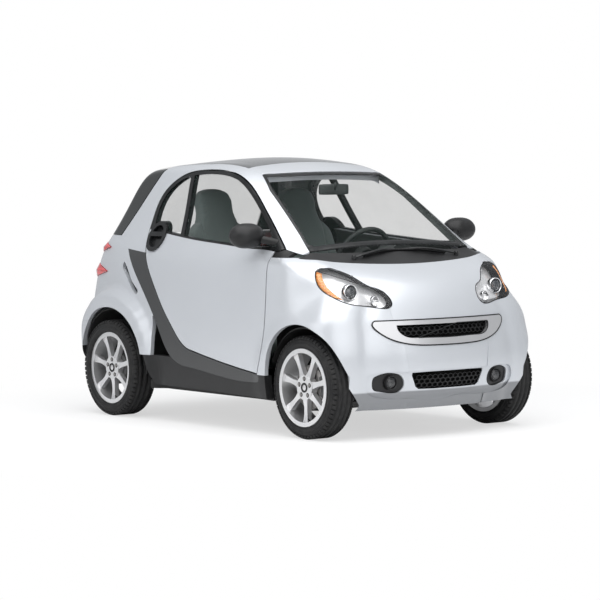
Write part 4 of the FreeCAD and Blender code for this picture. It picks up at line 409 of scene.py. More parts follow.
@dataclass(frozen=True)
class Fabric:
    """Woven seat cloth."""

    name: str
    base: Point
    thread: Point
    pitch: float = 700.0

    def material(self) -> Material:
        """Build the cloth.

        Returns:
            Material with a crossed weave and soft pilling.
        """
        shader = Shader(self.name)
        across = (shader.place("X") * self.pitch + shader.place("Y") * self.pitch).sine()
        along = (shader.place("Z") * self.pitch - shader.place("Y") * self.pitch).sine()
        weave = (across * along) * 0.5 + 0.5
        pile = shader.noise(60.0, 4.0)
        shade = shader.mix(weave * 0.6 + pile * 0.4, self.base, self.thread)
        rough = pile * 0.1 + 0.82
        height = shader.bump(weave + pile * 0.5, 0.4, 0.0007)
        surface = shader.principled(
            Base_Color=shade, Roughness=rough, Sheen_Weight=0.35, Sheen_Roughness=0.5, Normal=height
        )
        return shader.finish(surface)


@dataclass(frozen=True)
class Lens:
    """Coloured lamp lens with fine moulded ribs."""

    name: str
    base: Point
    deep: Point
    ribs: float = 380.0

    def material(self) -> Material:
        """Build the lens.

        Returns:
            Material with ribs under a bright polished face.
        """
        shader = Shader(self.name)
        rib = (shader.place("Z") * self.ribs).sine() * 0.5 + 0.5
        spark = shader.noise(70.0, 2.0).between(0.4, 0.7)
        shade = shader.mix(rib * 0.6 + spark * 0.4, self.deep, self.base)
        ripple = shader.bump(rib, 0.2, 0.0006)
        surface = shader.principled(
            Base_Color=shade,
            Roughness=spark * 0.06 + 0.12,
            Coat_Weight=1.0,
            Coat_Roughness=0.02,
            Normal=ripple,
        )
        return shader.finish(surface)


# Meshes


def mesh_object(name: str, points: Sequence, faces: Sequence, smooth: bool = True) -> Object:
    """Make a linked mesh object in the row frame.

    Args:
        name: its name.
        points: vertices in metres.
        faces: tuples of vertex numbers.
        smooth: whether its faces are shaded smooth.

    Returns:
        The object, at the origin.
    """
    mesh = bpy.data.meshes.new(name)
    mesh.from_pydata([tuple(p) for p in points], [], [tuple(f) for f in faces])
    mesh.validate()
    mesh.shade_smooth() if smooth else mesh.shade_flat()
    obj = bpy.data.objects.new(name, mesh)
    bpy.context.scene.collection.objects.link(obj)
    return obj


def outward(obj: Object, merge: float = 0.0) -> Object:
    """Merge doubles and turn the normals outward.

    Args:
        obj: a mesh object.
        merge: distance in metres under which points are merged.

    Returns:
        The same object.
    """
    work = bmesh.new()
    work.from_mesh(obj.data)
    if merge:
        bmesh.ops.remove_doubles(work, verts=work.verts, dist=merge)
        bmesh.ops.dissolve_degenerate(work, edges=work.edges, dist=merge / 2)
    bmesh.ops.recalc_face_normals(work, faces=work.faces)
    work.to_mesh(obj.data)
    work.free()
    return obj


def ringed(
    name: str, rings: Sequence[Sequence[Vector]], closed: bool = False, smooth: bool = True
) -> Object:
    """Skin equal rings of points one after another.

    Args:
        name: the object's name.
        rings: the rings, in order.
        closed: whether the last ring joins the first instead of both being capped.
        smooth: whether the faces are shaded smooth.

    Returns:
        A closed mesh.
    """
    count, total = len(rings[0]), len(rings)
    faces: list[tuple[int, ...]] = []
    for i in range(total if closed else total - 1):
        here, there = i * count, (i + 1) % total * count
        for k in range(count):
            after = (k + 1) % count
            faces.append((here + k, here + after, there + after, there + k))
    if not closed:
        faces.append(tuple(range(count)))
        faces.append(tuple((total - 1) * count + k for k in reversed(range(count))))
    points = [point for ring in rings for point in ring]
    return outward(mesh_object(name, points, faces, smooth))


def standing(place: Vector, axis: Vector) -> Matrix:
    """Frame at a place whose Z runs along an axis."""
    return Matrix.Translation(place) @ axis.to_track_quat("Z", "Y").to_matrix().to_4x4()


def baked(obj: Object) -> Object:
    """Turn an object's modifiers into its own mesh."""
    graph = bpy.context.evaluated_depsgraph_get()
    mesh = bpy.data.meshes.new_from_object(obj.evaluated_get(graph), depsgraph=graph)
    obj.modifiers.clear()
    obj.data = mesh
    return obj


def joined(name: str, objects: Sequence[Object]) -> Object:
    """Join objects at the origin into one mesh, keeping their materials.

    Args:
        name: the new object's name.
        objects: mesh objects to join and remove.

    Returns:
        The joined object.
    """
    materials: list[Material] = []
    work = bmesh.new()
    for obj in objects:
        baked(obj)
        start = len(work.faces)
        work.from_mesh(obj.data)
        work.faces.ensure_lookup_table()
        own = list(obj.data.materials)
        for face in work.faces[start:]:
            wanted = own[face.material_index] if face.material_index < len(own) else None
            if wanted not in materials:
                materials.append(wanted)
            face.material_index = materials.index(wanted)
        bpy.data.objects.remove(obj)
    mesh = bpy.data.meshes.new(name)
    work.to_mesh(mesh)
    work.free()
    for material in materials:
        mesh.materials.append(material)
    result = bpy.data.objects.new(name, mesh)
    bpy.context.scene.collection.objects.link(result)
    return result


def turned(
    name: str, profile: Outline, frame_at: Matrix, steps: int = 48, closed: bool = False
) -> Object:
    """Turn a profile of (radius, height) about the local Z of a placed frame.

    Args:
        name: the object's name.
        profile: points from bottom to top, in metres.
        frame_at: where the turning axis stands.
        steps: how many steps make the round.
        closed: whether the last point joins the first.

    Returns:
        A smooth mesh with outward normals.
    """
    points: list[Vector] = []
    faces: list[tuple[int, ...]] = []
    count = len(profile)
    for step in range(steps):
        angle = 2 * math.pi * step / steps
        for radius, height in profile:
            local = Vector((radius * math.cos(angle), radius * math.sin(angle), height))
            points.append(frame_at @ local)
    spans = count if closed else count - 1
    for step in range(steps):
        here = step * count
        there = ((step + 1) % steps) * count
        for k in range(spans):
            after = (k + 1) % count
            faces.append((here + k, there + k, there + after, here + after))
    return outward(mesh_object(name, points, faces), 1e-6)


def swept(
    name: str,
    path: Sequence[Vector],
    section: Callable[[float], Outline],
    up: Vector,
) -> Object:
    """Sweep a changing section along a path.

    Args:
        name: the object's name.
        path: points in metres.
        section: share along the path to a closed section of (side, up) points.
        up: direction that the section's second axis follows.

    Returns:
        A closed mesh.
    """
    last = len(path) - 1
    rings = []
    for i, place in enumerate(path):
        ahead = (path[min(i + 1, last)] - path[max(i - 1, 0)]).normalized()
        side = ahead.cross(up).normalized()
        rise = side.cross(ahead)
        rings.append([place + side * a + rise * b for a, b in section(i / last)])
    return ringed(name, rings)


def superoval(width: float, height: float, power: float = 3.0, count: int = 16) -> Outline:
    """Closed section between an ellipse and a box."""
    ring = []
    for i in range(count):
        angle = 2 * math.pi * i / count
        turn = (math.cos(angle), width), (math.sin(angle), height)
        ring.append(tuple(math.copysign(abs(c) ** (2 / power), c) * size / 2 for c, size in turn))
    return ring


def walled(obj: Object, thickness: float) -> None:
    """Give an open sheet a wall that grows inward."""
    wall = obj.modifiers.new("wall", "SOLIDIFY")
    wall.thickness = thickness
    wall.offset = -1.0


def block(name: str, low: Sequence[float], high: Sequence[float], edge: float) -> Object:
    """Box between two corners with rounded edges."""
    corners = [
        (x, y, z) for x in (low[0], high[0]) for y in (low[1], high[1]) for z in (low[2], high[2])
    ]
    faces = ((0, 1, 3, 2), (4, 6, 7, 5), (0, 4, 5, 1), (2, 3, 7, 6), (0, 2, 6, 4), (1, 5, 7, 3))
    obj = outward(mesh_object(name, corners, faces))
    softened(obj, edge, 3)
    return baked(obj)


def softened(obj: Object, edge: float, segments: int = 2, angle: float = 32.0) -> None:
    """Round an object's sharp edges with a bevel and even out its shading."""
    bevel = obj.modifiers.new("edges", "BEVEL")
    bevel.width = edge
    bevel.segments = segments
    bevel.limit_method = "ANGLE"
    bevel.angle_limit = math.radians(angle)
    obj.modifiers.new("shading", "WEIGHTED_NORMAL").keep_sharp = True


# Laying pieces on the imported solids


@dataclass(frozen=True)
class Spot:
    """A place for one copy: where it stands, what it faces and what it runs along."""

    place: Vector
    facing: Vector
    along: Vector


class Skin:
    """Surface of some CAD nodes, on which pieces are laid."""

    def __init__(self, *nodes: str) -> None:
        """Gather the nodes' triangles."""
        work = bmesh.new()
        for node in nodes:
            work.from_mesh(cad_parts[node].data)
        self.tree = BVHTree.FromBMesh(work)
        work.free()

    def hit(self, start: Vector, ahead: Vector) -> Optional[tuple[Vector, Vector]]:
        """Find where a ray first meets the surface.

        Args:
            start: where the ray starts.
            ahead: its direction.

        Returns:
            The place and the normal that faces the ray, or None.
        """
        place, normal, _, _ = self.tree.ray_cast(start, ahead.normalized())
        if place is None:
            return None
        return place, (normal if normal.dot(ahead) < 0 else -normal)


class Repeats:
    """Geometry Nodes tree that sets a copy of one piece on every point of a mesh."""

    def __init__(self) -> None:
        """Build the tree with its named inputs."""
        self.tree = bpy.data.node_groups.new("copies_on_points", "GeometryNodeTree")
        face = self.tree.interface
        face.new_socket("Points", in_out="INPUT", socket_type="NodeSocketGeometry")
        kinds = {"Piece": "NodeSocketObject", "Size": "NodeSocketFloat", "Finish": "NodeSocketMaterial"}
        self.inputs = {
            name: face.new_socket(name, in_out="INPUT", socket_type=kind).identifier
            for name, kind in kinds.items()
        }
        face.new_socket("Copies", in_out="OUTPUT", socket_type="NodeSocketGeometry")
        entry = self.tree.nodes.new("NodeGroupInput")
        points = self._add("GeometryNodeMeshToPoints", {}, {"Mesh": entry.outputs["Points"]})
        facing, along = (
            self._add("GeometryNodeInputNamedAttribute", {"data_type": "FLOAT_VECTOR"}, {"Name": key})
            for key in ("facing", "along")
        )
        inputs = {"Vector": self._value(facing)}
        upright = self._add("FunctionNodeAlignRotationToVector", {"axis": "Z"}, inputs)
        inputs = {"Rotation": upright.outputs[0], "Vector": self._value(along)}
        turn = self._add("FunctionNodeAlignRotationToVector", {"axis": "X", "pivot_axis": "Z"}, inputs)
        piece = self._add("GeometryNodeObjectInfo", {}, {"Object": entry.outputs["Piece"]})
        inputs = {
            "Points": points.outputs[0],
            "Instance": piece.outputs["Geometry"],
            "Rotation": turn.outputs[0],
            "Scale": entry.outputs["Size"],
        }
        copies = self._add("GeometryNodeInstanceOnPoints", {}, inputs)
        whole = self._add("GeometryNodeRealizeInstances", {}, {"Geometry": copies.outputs[0]})
        inputs = {"Geometry": whole.outputs[0], "Material": entry.outputs["Finish"]}
        done = self._add("GeometryNodeSetMaterial", {}, inputs)
        end = self.tree.nodes.new("NodeGroupOutput")
        self.tree.links.new(done.outputs[0], end.inputs[0])

    def _add(self, kind: str, settings: dict, inputs: dict) -> bpy.types.Node:
        """Add a node to the tree."""
        return add_node(self.tree, kind, settings, inputs)

    @staticmethod
    def _value(node: bpy.types.Node) -> bpy.types.NodeSocket:
        """Output of a named attribute that fits its type."""
        return next(out for out in node.outputs if out.enabled and out.name == "Attribute")

    def lay(
        self,
        name: str,
        piece: Object,
        spots: Sequence[Spot],
        finish: Material,
        size: float = 1.0,
    ) -> Object:
        """Set copies of a piece on spots and turn them into one mesh.

        Args:
            name: the new object's name.
            piece: object to copy, removed afterwards.
            spots: where the copies go.
            finish: material of all copies.
            size: scale of each copy.

        Returns:
            The finished mesh object.
        """
        obj = mesh_object(name, [spot.place for spot in spots], [])
        for key in ("facing", "along"):
            layer = obj.data.attributes.new(key, "FLOAT_VECTOR", "POINT")
            flat = [value for spot in spots for value in getattr(spot, key)]
            layer.data.foreach_set("vector", flat)
        modifier = obj.modifiers.new("copies", "NODES")
        modifier.node_group = self.tree
        modifier[self.inputs["Piece"]] = piece
        modifier[self.inputs["Size"]] = size
        modifier[self.inputs["Finish"]] = finish
        baked(obj)
        bpy.data.objects.remove(piece)
        return obj


def refined(
    node: str, edge: float, angle: float = 30.0, solid: Optional[Callable[[Vector], bool]] = None
) -> Object:
    """Copy a CAD node, merge it and round its sharp edges.

    Args:
        node: the CAD node's name.
        edge: width of the rounding in metres, or 0 for none.
        angle: degrees above which an edge is sharp.
        solid: test on a solid's middle that says whether it is kept.

    Returns:
        The smooth copy, which still needs a finish and a body.
    """
    obj = bpy.data.objects.new(node + "_shell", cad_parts[node].data.copy())
    bpy.context.scene.collection.objects.link(obj)
    obj.data.materials.clear()
    work = bmesh.new()
    work.from_mesh(obj.data)
    bmesh.ops.remove_doubles(work, verts=work.verts, dist=2e-5)
    bmesh.ops.dissolve_degenerate(work, edges=work.edges, dist=1e-5)
    if solid is not None:
        keep_solids(work, solid)
    bmesh.ops.dissolve_limit(
        work, angle_limit=math.radians(0.3), verts=work.verts, edges=work.edges
    )
    for face in work.faces:
        face.smooth = True
        face.material_index = 0
    limit = math.radians(angle)
    for line in work.edges:
        line.smooth = len(line.link_faces) == 2 and line.calc_face_angle(0.0) < limit
    work.to_mesh(obj.data)
    work.free()
    if edge:
        softened(obj, edge, 2, angle)
    else:
        obj.modifiers.new("shading", "WEIGHTED_NORMAL").keep_sharp = True
    return obj


def rim_paths(
    node: str, view: Vector, solid: Optional[Callable[[Vector], bool]] = None
) -> list[list[Vector]]:
    """Find the closed outlines of a node's outer face, longest first.

    Args:
        node: the CAD node's name.
        view: direction that the outer face looks in.
        solid: test on a solid's middle that says whether it counts.

    Returns:
        Loops of points.
    """
    copy = refined(node, 0.0, 30.0, solid)
    work = bmesh.new()
    work.from_mesh(copy.data)
    bpy.data.objects.remove(copy)
    links: dict = {}
    for line in work.edges:
        if len(line.link_faces) != 2 or line.calc_face_angle(0.0) < RIM_ANGLE:
            continue
        facing = sorted(face.normal.dot(view) for face in line.link_faces)
        if facing[0] < RIM_SLANT < facing[1]:
            a, b = line.verts
            links.setdefault(a, []).append(b)
            links.setdefault(b, []).append(a)
    loops = []
    while links:
        start = next(iter(links))
        loop = [start]
        here = start
        while True:
            after = [vert for vert in links.pop(here, []) if vert in links]
            if not after:
                break
            here = after[0]
            loop.append(here)
        if len(loop) > 5:
            loops.append([vert.co.copy() for vert in loop])
    work.free()
    return sorted(loops, key=path_length, reverse=True)


def path_length(loop: Sequence[Vector]) -> float:
    """Length round a closed path."""
    return sum((loop[i] - loop[i - 1]).length for i in range(len(loop)))


def evened(loop: Sequence[Vector], step: float) -> list[Vector]:
    """Space a closed path's points evenly."""
    total = path_length(loop)
    count = max(12, round(total / step))
    out: list[Vector] = []
    walked, due = 0.0, 0.0
    closed = list(loop) + [loop[0]]
    for a, b in zip(closed, closed[1:]):
        length = (b - a).length
        while due < walked + length - 1e-9 and len(out) < count:
            out.append(a.lerp(b, (due - walked) / length))
            due += total / count
        walked += length
    return out


def gasket(name: str, loop: Sequence[Vector], radius: float, sink: Vector) -> Object:
    """Lay a round bead along a closed outline.

    Args:
        name: the bead's name.
        loop: the outline.
        radius: the bead's radius.
        sink: shift that lets it into the surface.

    Returns:
        The closed bead.
    """
    path = evened(loop, BEAD_STEP)
    rings = []
    for i, place in enumerate(path):
        ahead = (path[(i + 1) % len(path)] - path[i - 1]).normalized()
        side = ahead.cross(sink).normalized() * radius
        rise = side.cross(ahead)
        angles = [2 * math.pi * k / BEAD_SIDES for k in range(BEAD_SIDES)]
        rings.append([place + sink + side * math.cos(turn) + rise * math.sin(turn) for turn in angles])
    return ringed(name, rings, True)


def border(
    name: str, loop: Sequence[Vector], skin: Skin, view: Vector, width: Callable[[Vector], float]
) -> Object:
    """Lay a thin printed border inside a pane's outline.

    Args:
        name: the border's name.
        loop: the pane's outline.
        skin: the pane's surface.
        view: direction that the pane looks in.
        width: the border's width at a place.

    Returns:
        A thin closed band just proud of the pane.
    """
    path = evened(loop, PRINT_STEP)
    middle = sum(path, Vector()) / len(path)
    count, across = len(path), PRINT_ROWS
    lower, faces = [], []
    for i, place in enumerate(path):
        ahead = (path[(i + 1) % count] - path[i - 1]).normalized()
        inward = view.cross(ahead).normalized()
        if inward.dot(middle - place) < 0:
            inward = -inward
        reach = width(place)
        for k in range(across):
            spot = place + inward * (PRINT_INSET + reach * k / (across - 1))
            found = skin.hit(spot + view * PRINT_VIEW, -view)
            lower.append((found[0] if found else spot) + view * PRINT_RISE)
    upper = [spot + view * PRINT_THICKNESS for spot in lower]
    total = len(lower)
    for i in range(count):
        j = (i + 1) % count
        for k in range(across - 1):
            a, b, c, d = i * across + k, i * across + k + 1, j * across + k + 1, j * across + k
            faces.append((a + total, b + total, c + total, d + total))
            faces.append((d, c, b, a))
        for k in (0, across - 1):
            a, d = i * across + k, j * across + k
            faces.append((a, d, d + total, a + total))
    return outward(mesh_object(name, lower + upper, faces))


def keep_solids(work: bmesh.types.BMesh, solid: Callable[[Vector], bool]) -> None:
    """Keep only the loose solids whose middle passes a test."""
    seen: set = set()
    lost: list = []
    for start in work.verts:
        if start in seen:
            continue
        group = [start]
        seen.add(start)
        for vert in group:
            for line in vert.link_edges:
                other = line.other_vert(vert)
                if other not in seen:
                    seen.add(other)
                    group.append(other)
        middle = sum((vert.co for vert in group), Vector()) / len(group)
        if not solid(middle):
            lost += group
    bmesh.ops.delete(work, geom=lost, context="VERTS")


def lined(
    obj: Object,
    finish: Material,
    lining: Material,
    inside: Callable[[Vector, Vector], bool],
) -> None:
    """Give an object two finishes: one outside and one on the faces that a test picks."""
    obj.data.materials.clear()
    obj.data.materials.append(finish)
    obj.data.materials.append(lining)
    for face in obj.data.polygons:
        face.material_index = int(inside(face.center, face.normal))


def finished(obj: Object, finish: Optional[Material], body: str, slot: str, *nodes: str) -> None:
    """Bake a piece, give it its finish and hang it on its body.

    Args:
        obj: the piece, in place.
        finish: its material, or None where it has its own.
        body: the CAD body that it moves with.
        slot: the record's material slot, not used.
        nodes: CAD nodes that it stands for.
    """
    if obj.modifiers:
        baked(obj)
    if finish is not None:
        obj.data.materials.clear()
        obj.data.materials.append(finish)
    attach(obj, body)
    if nodes:
        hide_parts(*nodes)
    log.info("%s rides on %s with %d faces", obj.name, body, len(obj.data.polygons))


def clad(node: str, finish: Material) -> None:
    """Give a CAD node its finish and leave its mesh as it is."""
    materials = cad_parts[node].data.materials
    materials.clear()
    materials.append(finish)


SILVER = (0.535, 0.555, 0.585)


def made(finish: Any) -> Any:
    """Field of a dataclass whose default is the finish's material."""
    return field(default_factory=finish.material)


@dataclass(frozen=True)
class Palette:
    """Every finish of the car, built once."""

    silver: Material = made(Paint("silver_paint", SILVER, 0.42, 0.40, 0.10, 0.7))
    charcoal: Material = made(Paint("charcoal_paint", (0.034, 0.035, 0.036), 0.25, 0.40, 0.06, 0.30))
    roof: Material = made(Paint("roof_black", (0.020, 0.022, 0.023), 0.0, 0.16))
    trim: Material = made(Plastic("black_plastic", (0.010, 0.010, 0.0105), Gloss.SATIN))
    frames: Material = made(Plastic("frame_black", (0.007, 0.0075, 0.008), Gloss.GLOSSY, 0.05))
    lining: Material = made(Plastic("cabin_trim", (0.090, 0.100, 0.097), Gloss.MATTE))
    dash: Material = made(Plastic("dash_plastic", (0.035, 0.040, 0.039), Gloss.MATTE, 0.4, 500.0))
    under: Material = made(Plastic("chassis_black", (0.008, 0.008, 0.008), Gloss.MATTE, 0.3, 300.0))
    satin: Material = made(Paint("satin_silver", (0.56, 0.56, 0.57), 0.7, 0.28, 0.0, 0.5))
    # Silver with painted shade: the base is darkened below 0.262 m, for the shade under the front bumper and
    # fenders
    silver_painted_shade: Material = made(Paint("silver_painted_shade_low", SILVER, 0.42, 0.40, 0.10, 0.7, 0.262))
    glass: Material = made(Glass("tinted_glass", (0.020, 0.032, 0.028), 0.10, 0.10))
    clear_glass: Material = made(Glass("clear_glass", (0.020, 0.032, 0.028), 0.05, 0.08))
    privacy: Material = made(Glass("rear_glass", (0.018, 0.020, 0.020), 0.12, 0.12, 0.02, 0.47))
    cover: Material = made(Glass("lamp_cover", (0.30, 0.31, 0.32), 0.02, 0.08))
    alloy: Material = made(Paint("alloy", (0.66, 0.66, 0.665), 0.75, 0.32, 0.08, 0.6))
    bright: Material = made(Metal("bright_metal", (0.82, 0.82, 0.83), 0.12))
    steel: Material = made(Metal("brake_steel", (0.33, 0.32, 0.31), 0.42, 0.25))
    cast: Material = made(Metal("cast_metal", (0.16, 0.16, 0.16), 0.55, 0.3))
    rubber: Material = made(Rubber("tyre_rubber"))
    amber: Material = made(Lens("amber_lens", (0.85, 0.33, 0.06), (0.55, 0.17, 0.02)))
    red: Material = made(Lens("red_lens", (0.72, 0.03, 0.035), (0.42, 0.010, 0.012), 260.0))
    mesh: Material = made(Plastic("mesh_black", (0.006, 0.006, 0.0065), Gloss.SATIN, 0.1))
    # Near-black sheet with almost no reflection: painted shade for the dark openings behind the grille's
    # honeycomb
    painted_void: Material = made(Plastic("painted_shade_black", (0.001, 0.001, 0.001), Gloss.MATTE, 0.1, 900.0, 0.02))
    reflector: Material = made(Paint("lamp_bowl", (0.74, 0.74, 0.75), 0.45, 0.26, 0.05, 0.4))
    lens: Material = made(Glass("projector_lens", (0.045, 0.05, 0.055), 0.80))
    fog_glass: Material = made(Glass("fog_glass", (0.02, 0.021, 0.023), 0.72))
    cloth: Material = made(Fabric("seat_fabric", (0.115, 0.145, 0.138), (0.19, 0.23, 0.22)))


# Wheels


# Outlines to turn about an axle or a lamp's middle, as (reach, out) points in metres
GROOVE = ((0.0, 0.0065), (0.007, 0.004), (0.007, -0.004), (0.0, -0.0065))
BOLT_HEAD = (
    (0.0, 0.0035), (0.0035, 0.0035), (0.0045, 0.0062), (0.0075, 0.0058), (0.0088, 0.0035), (0.0088, -0.004)
)
BOLT_SEAT = ((0.0, 0.0006), (0.0125, 0.0006), (0.0140, -0.001))
VALVE_STEM = (
    (0.0, 0.0), (0.0050, 0.0), (0.0045, 0.008), (0.0030, 0.012),
    (0.0036, 0.014), (0.0036, 0.024), (0.0, 0.0255),
)
DRUM = (
    (0.032, -0.030), (0.090, -0.030), (0.100, -0.022), (0.100, 0.014), (0.092, 0.021), (0.032, 0.021)
)
CALIPER = (
    (0.090, -0.010), (0.128, -0.010), (0.140, 0.000), (0.140, 0.0238), (0.096, 0.0242),
    (0.096, 0.0234), (0.126, 0.0232), (0.126, 0.0200), (0.090, 0.0195),
)
CALIPER_MIDDLE = 0.108


@dataclass
class Wheel:
    """One road wheel with its brake."""

    name: str
    hand: int
    centre: Vector
    radius: float
    width: float
    rim_half: float
    steered: bool
    bead: float = 0.2143
    bed: float = 0.2003
    tread: float = 0.006
    tread_drop: float = 0.0004
    blocks: int = 62
    bolt_circle: float = 0.049
    bolts: int = 5
    cap: float = 0.027
    disc: float = 0.122
    caliper_arc: tuple[float, float] = (-115.0, -55.0)
    caliper_steps: int = 12
    groove_shares: tuple[float, float] = (0.62, 0.21)

    @property
    def body(self) -> str:
        """Body that turns with the wheel."""
        return "wheel_" + self.name

    def frame_at(self, out: float = 0.0) -> Matrix:
        """Frame on the axle whose Z points away from the car."""
        matrix = Matrix(((0, 0, self.hand, 0), (self.hand, 0, 0, 0), (0, 1, 0, 0), (0, 0, 0, 1)))
        return Matrix.Translation(self.centre + Vector((self.hand * out, 0, 0))) @ matrix

    def spot(self, angle: float, reach: float, out: float, radial: bool = False) -> Spot:
        """Place on the wheel at an angle from straight up.

        Args:
            angle: radians, turning towards the tail of the car.
            reach: distance from the axle.
            out: distance outward from the wheel's middle.
            radial: whether it faces away from the axle instead of outward.

        Returns:
            The spot, running along the wheel's round.
        """
        ray = Vector((0, math.sin(angle), math.cos(angle)))
        run = Vector((0, math.cos(angle), -math.sin(angle)))
        side = Vector((self.hand, 0, 0))
        place = self.centre + ray * reach + side * out
        return Spot(place, ray if radial else side, run)

    def tyre_profile(self) -> list[tuple[float, float]]:
        """Outline of the tyre's section as (radius, out) points."""
        half = self.width / 2
        crown = self.radius - self.tread
        side = [
            (self.bed, self.rim_half - 0.0095),
            (self.bead, self.rim_half - 0.0095),
            (self.bead + 0.001, self.rim_half - 0.002),
            (self.bead + 0.006, half - 0.0055),
            (self.bead + 0.0075, half - 0.0030),
            (self.bead + 0.0095, half - 0.0028),
            (self.bead + 0.0105, half - 0.0045),
            (self.bead + 0.016, half - 0.0015),
            (self.bead + 0.026, half - 0.0003),
            (self.bead + 0.034, half - 0.0020),
            (self.bead + 0.0345, half - 0.0035),
            (self.bead + 0.0375, half - 0.0040),
            (self.bead + 0.0385, half - 0.0035),
            (crown - 0.018, half - 0.0080),
            (crown - 0.009, half - 0.0150),
            (crown - 0.003, half - 0.0240),
        ]
        grooves = []
        for place in self.groove_shares:
            for drop, off in GROOVE:
                grooves.append((self.radius - drop, half * place + off))
        mirrored = [(radius, -out) for radius, out in reversed(side + grooves)]
        return side + grooves + mirrored

    def tread_block(self) -> Object:
        """One shoulder block that follows the tyre's rounded edge."""
        half = self.width / 2
        top = [
            (half * 0.66, self.tread),
            (half - 0.022, self.tread - 0.0006),
            (half - 0.013, self.tread - 0.0045),
            (half - 0.0075, self.tread - 0.0120),
        ]
        low = [(out - 0.002, rise - 0.0065) for out, rise in top]
        ring = top + low[::-1]
        reach = math.pi * self.radius / self.blocks * 0.74
        points = [(x, out, rise) for x in (-reach, reach) for out, rise in ring]
        count = len(ring)
        faces = [tuple(range(count)), tuple(range(2 * count - 1, count - 1, -1))]
        faces += [(k, (k + 1) % count, (k + 1) % count + count, k + count) for k in range(count)]
        return outward(mesh_object("tread_block", points, faces, False))

    def make_tyre(self, look: Palette, repeats: Repeats) -> None:
        """Build the tyre's body and the blocks round its shoulders."""
        body = turned("tyre_body", self.tyre_profile(), self.frame_at(), 120, True)
        body.data.materials.append(look.rubber)
        rows = []
        for sign in (-1, 1):
            spots = []
            for k in range(self.blocks):
                foot = self.radius - self.tread - self.tread_drop
                spot = self.spot(2 * math.pi * (k + sign / 4) / self.blocks, foot, 0.0, True)
                spots.append(Spot(spot.place, spot.facing, spot.along * sign))
            rows.append(repeats.lay("tread_row", self.tread_block(), spots, look.rubber))
        tyre = joined("road_tyre_" + self.name, [body] + rows)
        finished(tyre, None, self.body, "tyre", "tyre_" + self.name)

    def make_rim(self, look: Palette, repeats: Repeats) -> None:
        """Finish the rim and set its bolts, cap and valve."""
        rim = refined("rim_" + self.name, 0.0022, 28.0)
        finished(rim, look.alloy, self.body, "alloy", "rim_" + self.name)
        face = self.rim_half - 0.012
        angles = [2 * math.pi * k / self.bolts for k in range(self.bolts)]
        spots = [self.spot(angle, self.bolt_circle, face) for angle in angles]
        bolt = turned("bolt", BOLT_HEAD, Matrix.Identity(4), 6)
        bolts = repeats.lay("wheel_bolts_" + self.name, bolt, spots, look.steel)
        finished(bolts, None, self.body, "cast_metal")
        seat = turned("seat", BOLT_SEAT, Matrix.Identity(4), 20)
        seats = repeats.lay("bolt_seats_" + self.name, seat, spots, look.trim)
        finished(seats, None, self.body, "black_plastic")
        inner = self.cap * 0.62
        ring = [(inner, 0.0010), (self.cap * 0.66, 0.0035), (self.cap * 0.95, 0.0042)]
        ring += [(self.cap, 0.0020), (self.cap, -0.0030), (inner, -0.0030)]
        cap = turned("hub_cap_ring_" + self.name, ring, self.frame_at(face), 40, True)
        finished(cap, look.trim, self.body, "black_plastic")
        plate = [(0.0, 0.0024), (self.cap * 0.4, 0.0022), (self.cap * 0.60, 0.0012)]
        plate.append((self.cap * 0.66, -0.002))
        middle = turned("hub_cap_plate_" + self.name, plate, self.frame_at(face), 32)
        finished(middle, look.alloy, self.body, "alloy")
        self.make_valve(look)

    def make_valve(self, look: Palette) -> None:
        """Build the tyre valve beside the lowest spoke."""
        spot = self.spot(math.pi + 0.16, 0.188, self.rim_half - 0.030)
        up = (self.centre + Vector((self.hand * 0.06, 0, 0)) - spot.place).normalized()
        lean = (up * 0.75 + Vector((self.hand, 0, 0)) * 0.6).normalized()
        valve = turned("valve_" + self.name, VALVE_STEM, standing(spot.place, lean), 12)
        finished(valve, look.trim, self.body, "black_plastic")

    def make_brake(self, look: Palette) -> None:
        """Build the disc and caliper of a front wheel, or the drum of a rear one."""
        if not self.steered:
            obj = turned("brake_drum_" + self.name, DRUM, self.frame_at(), 48, True)
            finished(obj, look.cast, self.body, "cast_metal")
            return
        ring = [(0.062, 0.0207), (0.062, 0.0228), (self.disc, 0.0228), (self.disc, 0.0207)]
        obj = turned("brake_disc_" + self.name, ring, self.frame_at(), 72, True)
        finished(obj, look.steel, self.body, "cast_metal")
        start, end = (math.radians(angle) for angle in self.caliper_arc)
        rings = []
        for k in range(self.caliper_steps + 1):
            share = k / self.caliper_steps
            squeeze = 1.0 - 0.10 * abs(2 * share - 1) ** 3
            ring = []
            for reach, out in CALIPER:
                far = CALIPER_MIDDLE + (reach - CALIPER_MIDDLE) * squeeze
                ring.append(self.spot(start + (end - start) * share, far, out).place)
            rings.append(ring)
        caliper = ringed("brake_caliper_" + self.name, rings, smooth=False)
        body = "steer_" + ("right" if self.hand < 0 else "left")
        finished(caliper, look.cast, body, "cast_metal")

    def dress(self, look: Palette, repeats: Repeats) -> None:
        """Build every piece of the wheel."""
        self.make_tyre(look, repeats)
        self.make_rim(look, repeats)
        self.make_brake(look)


# Body


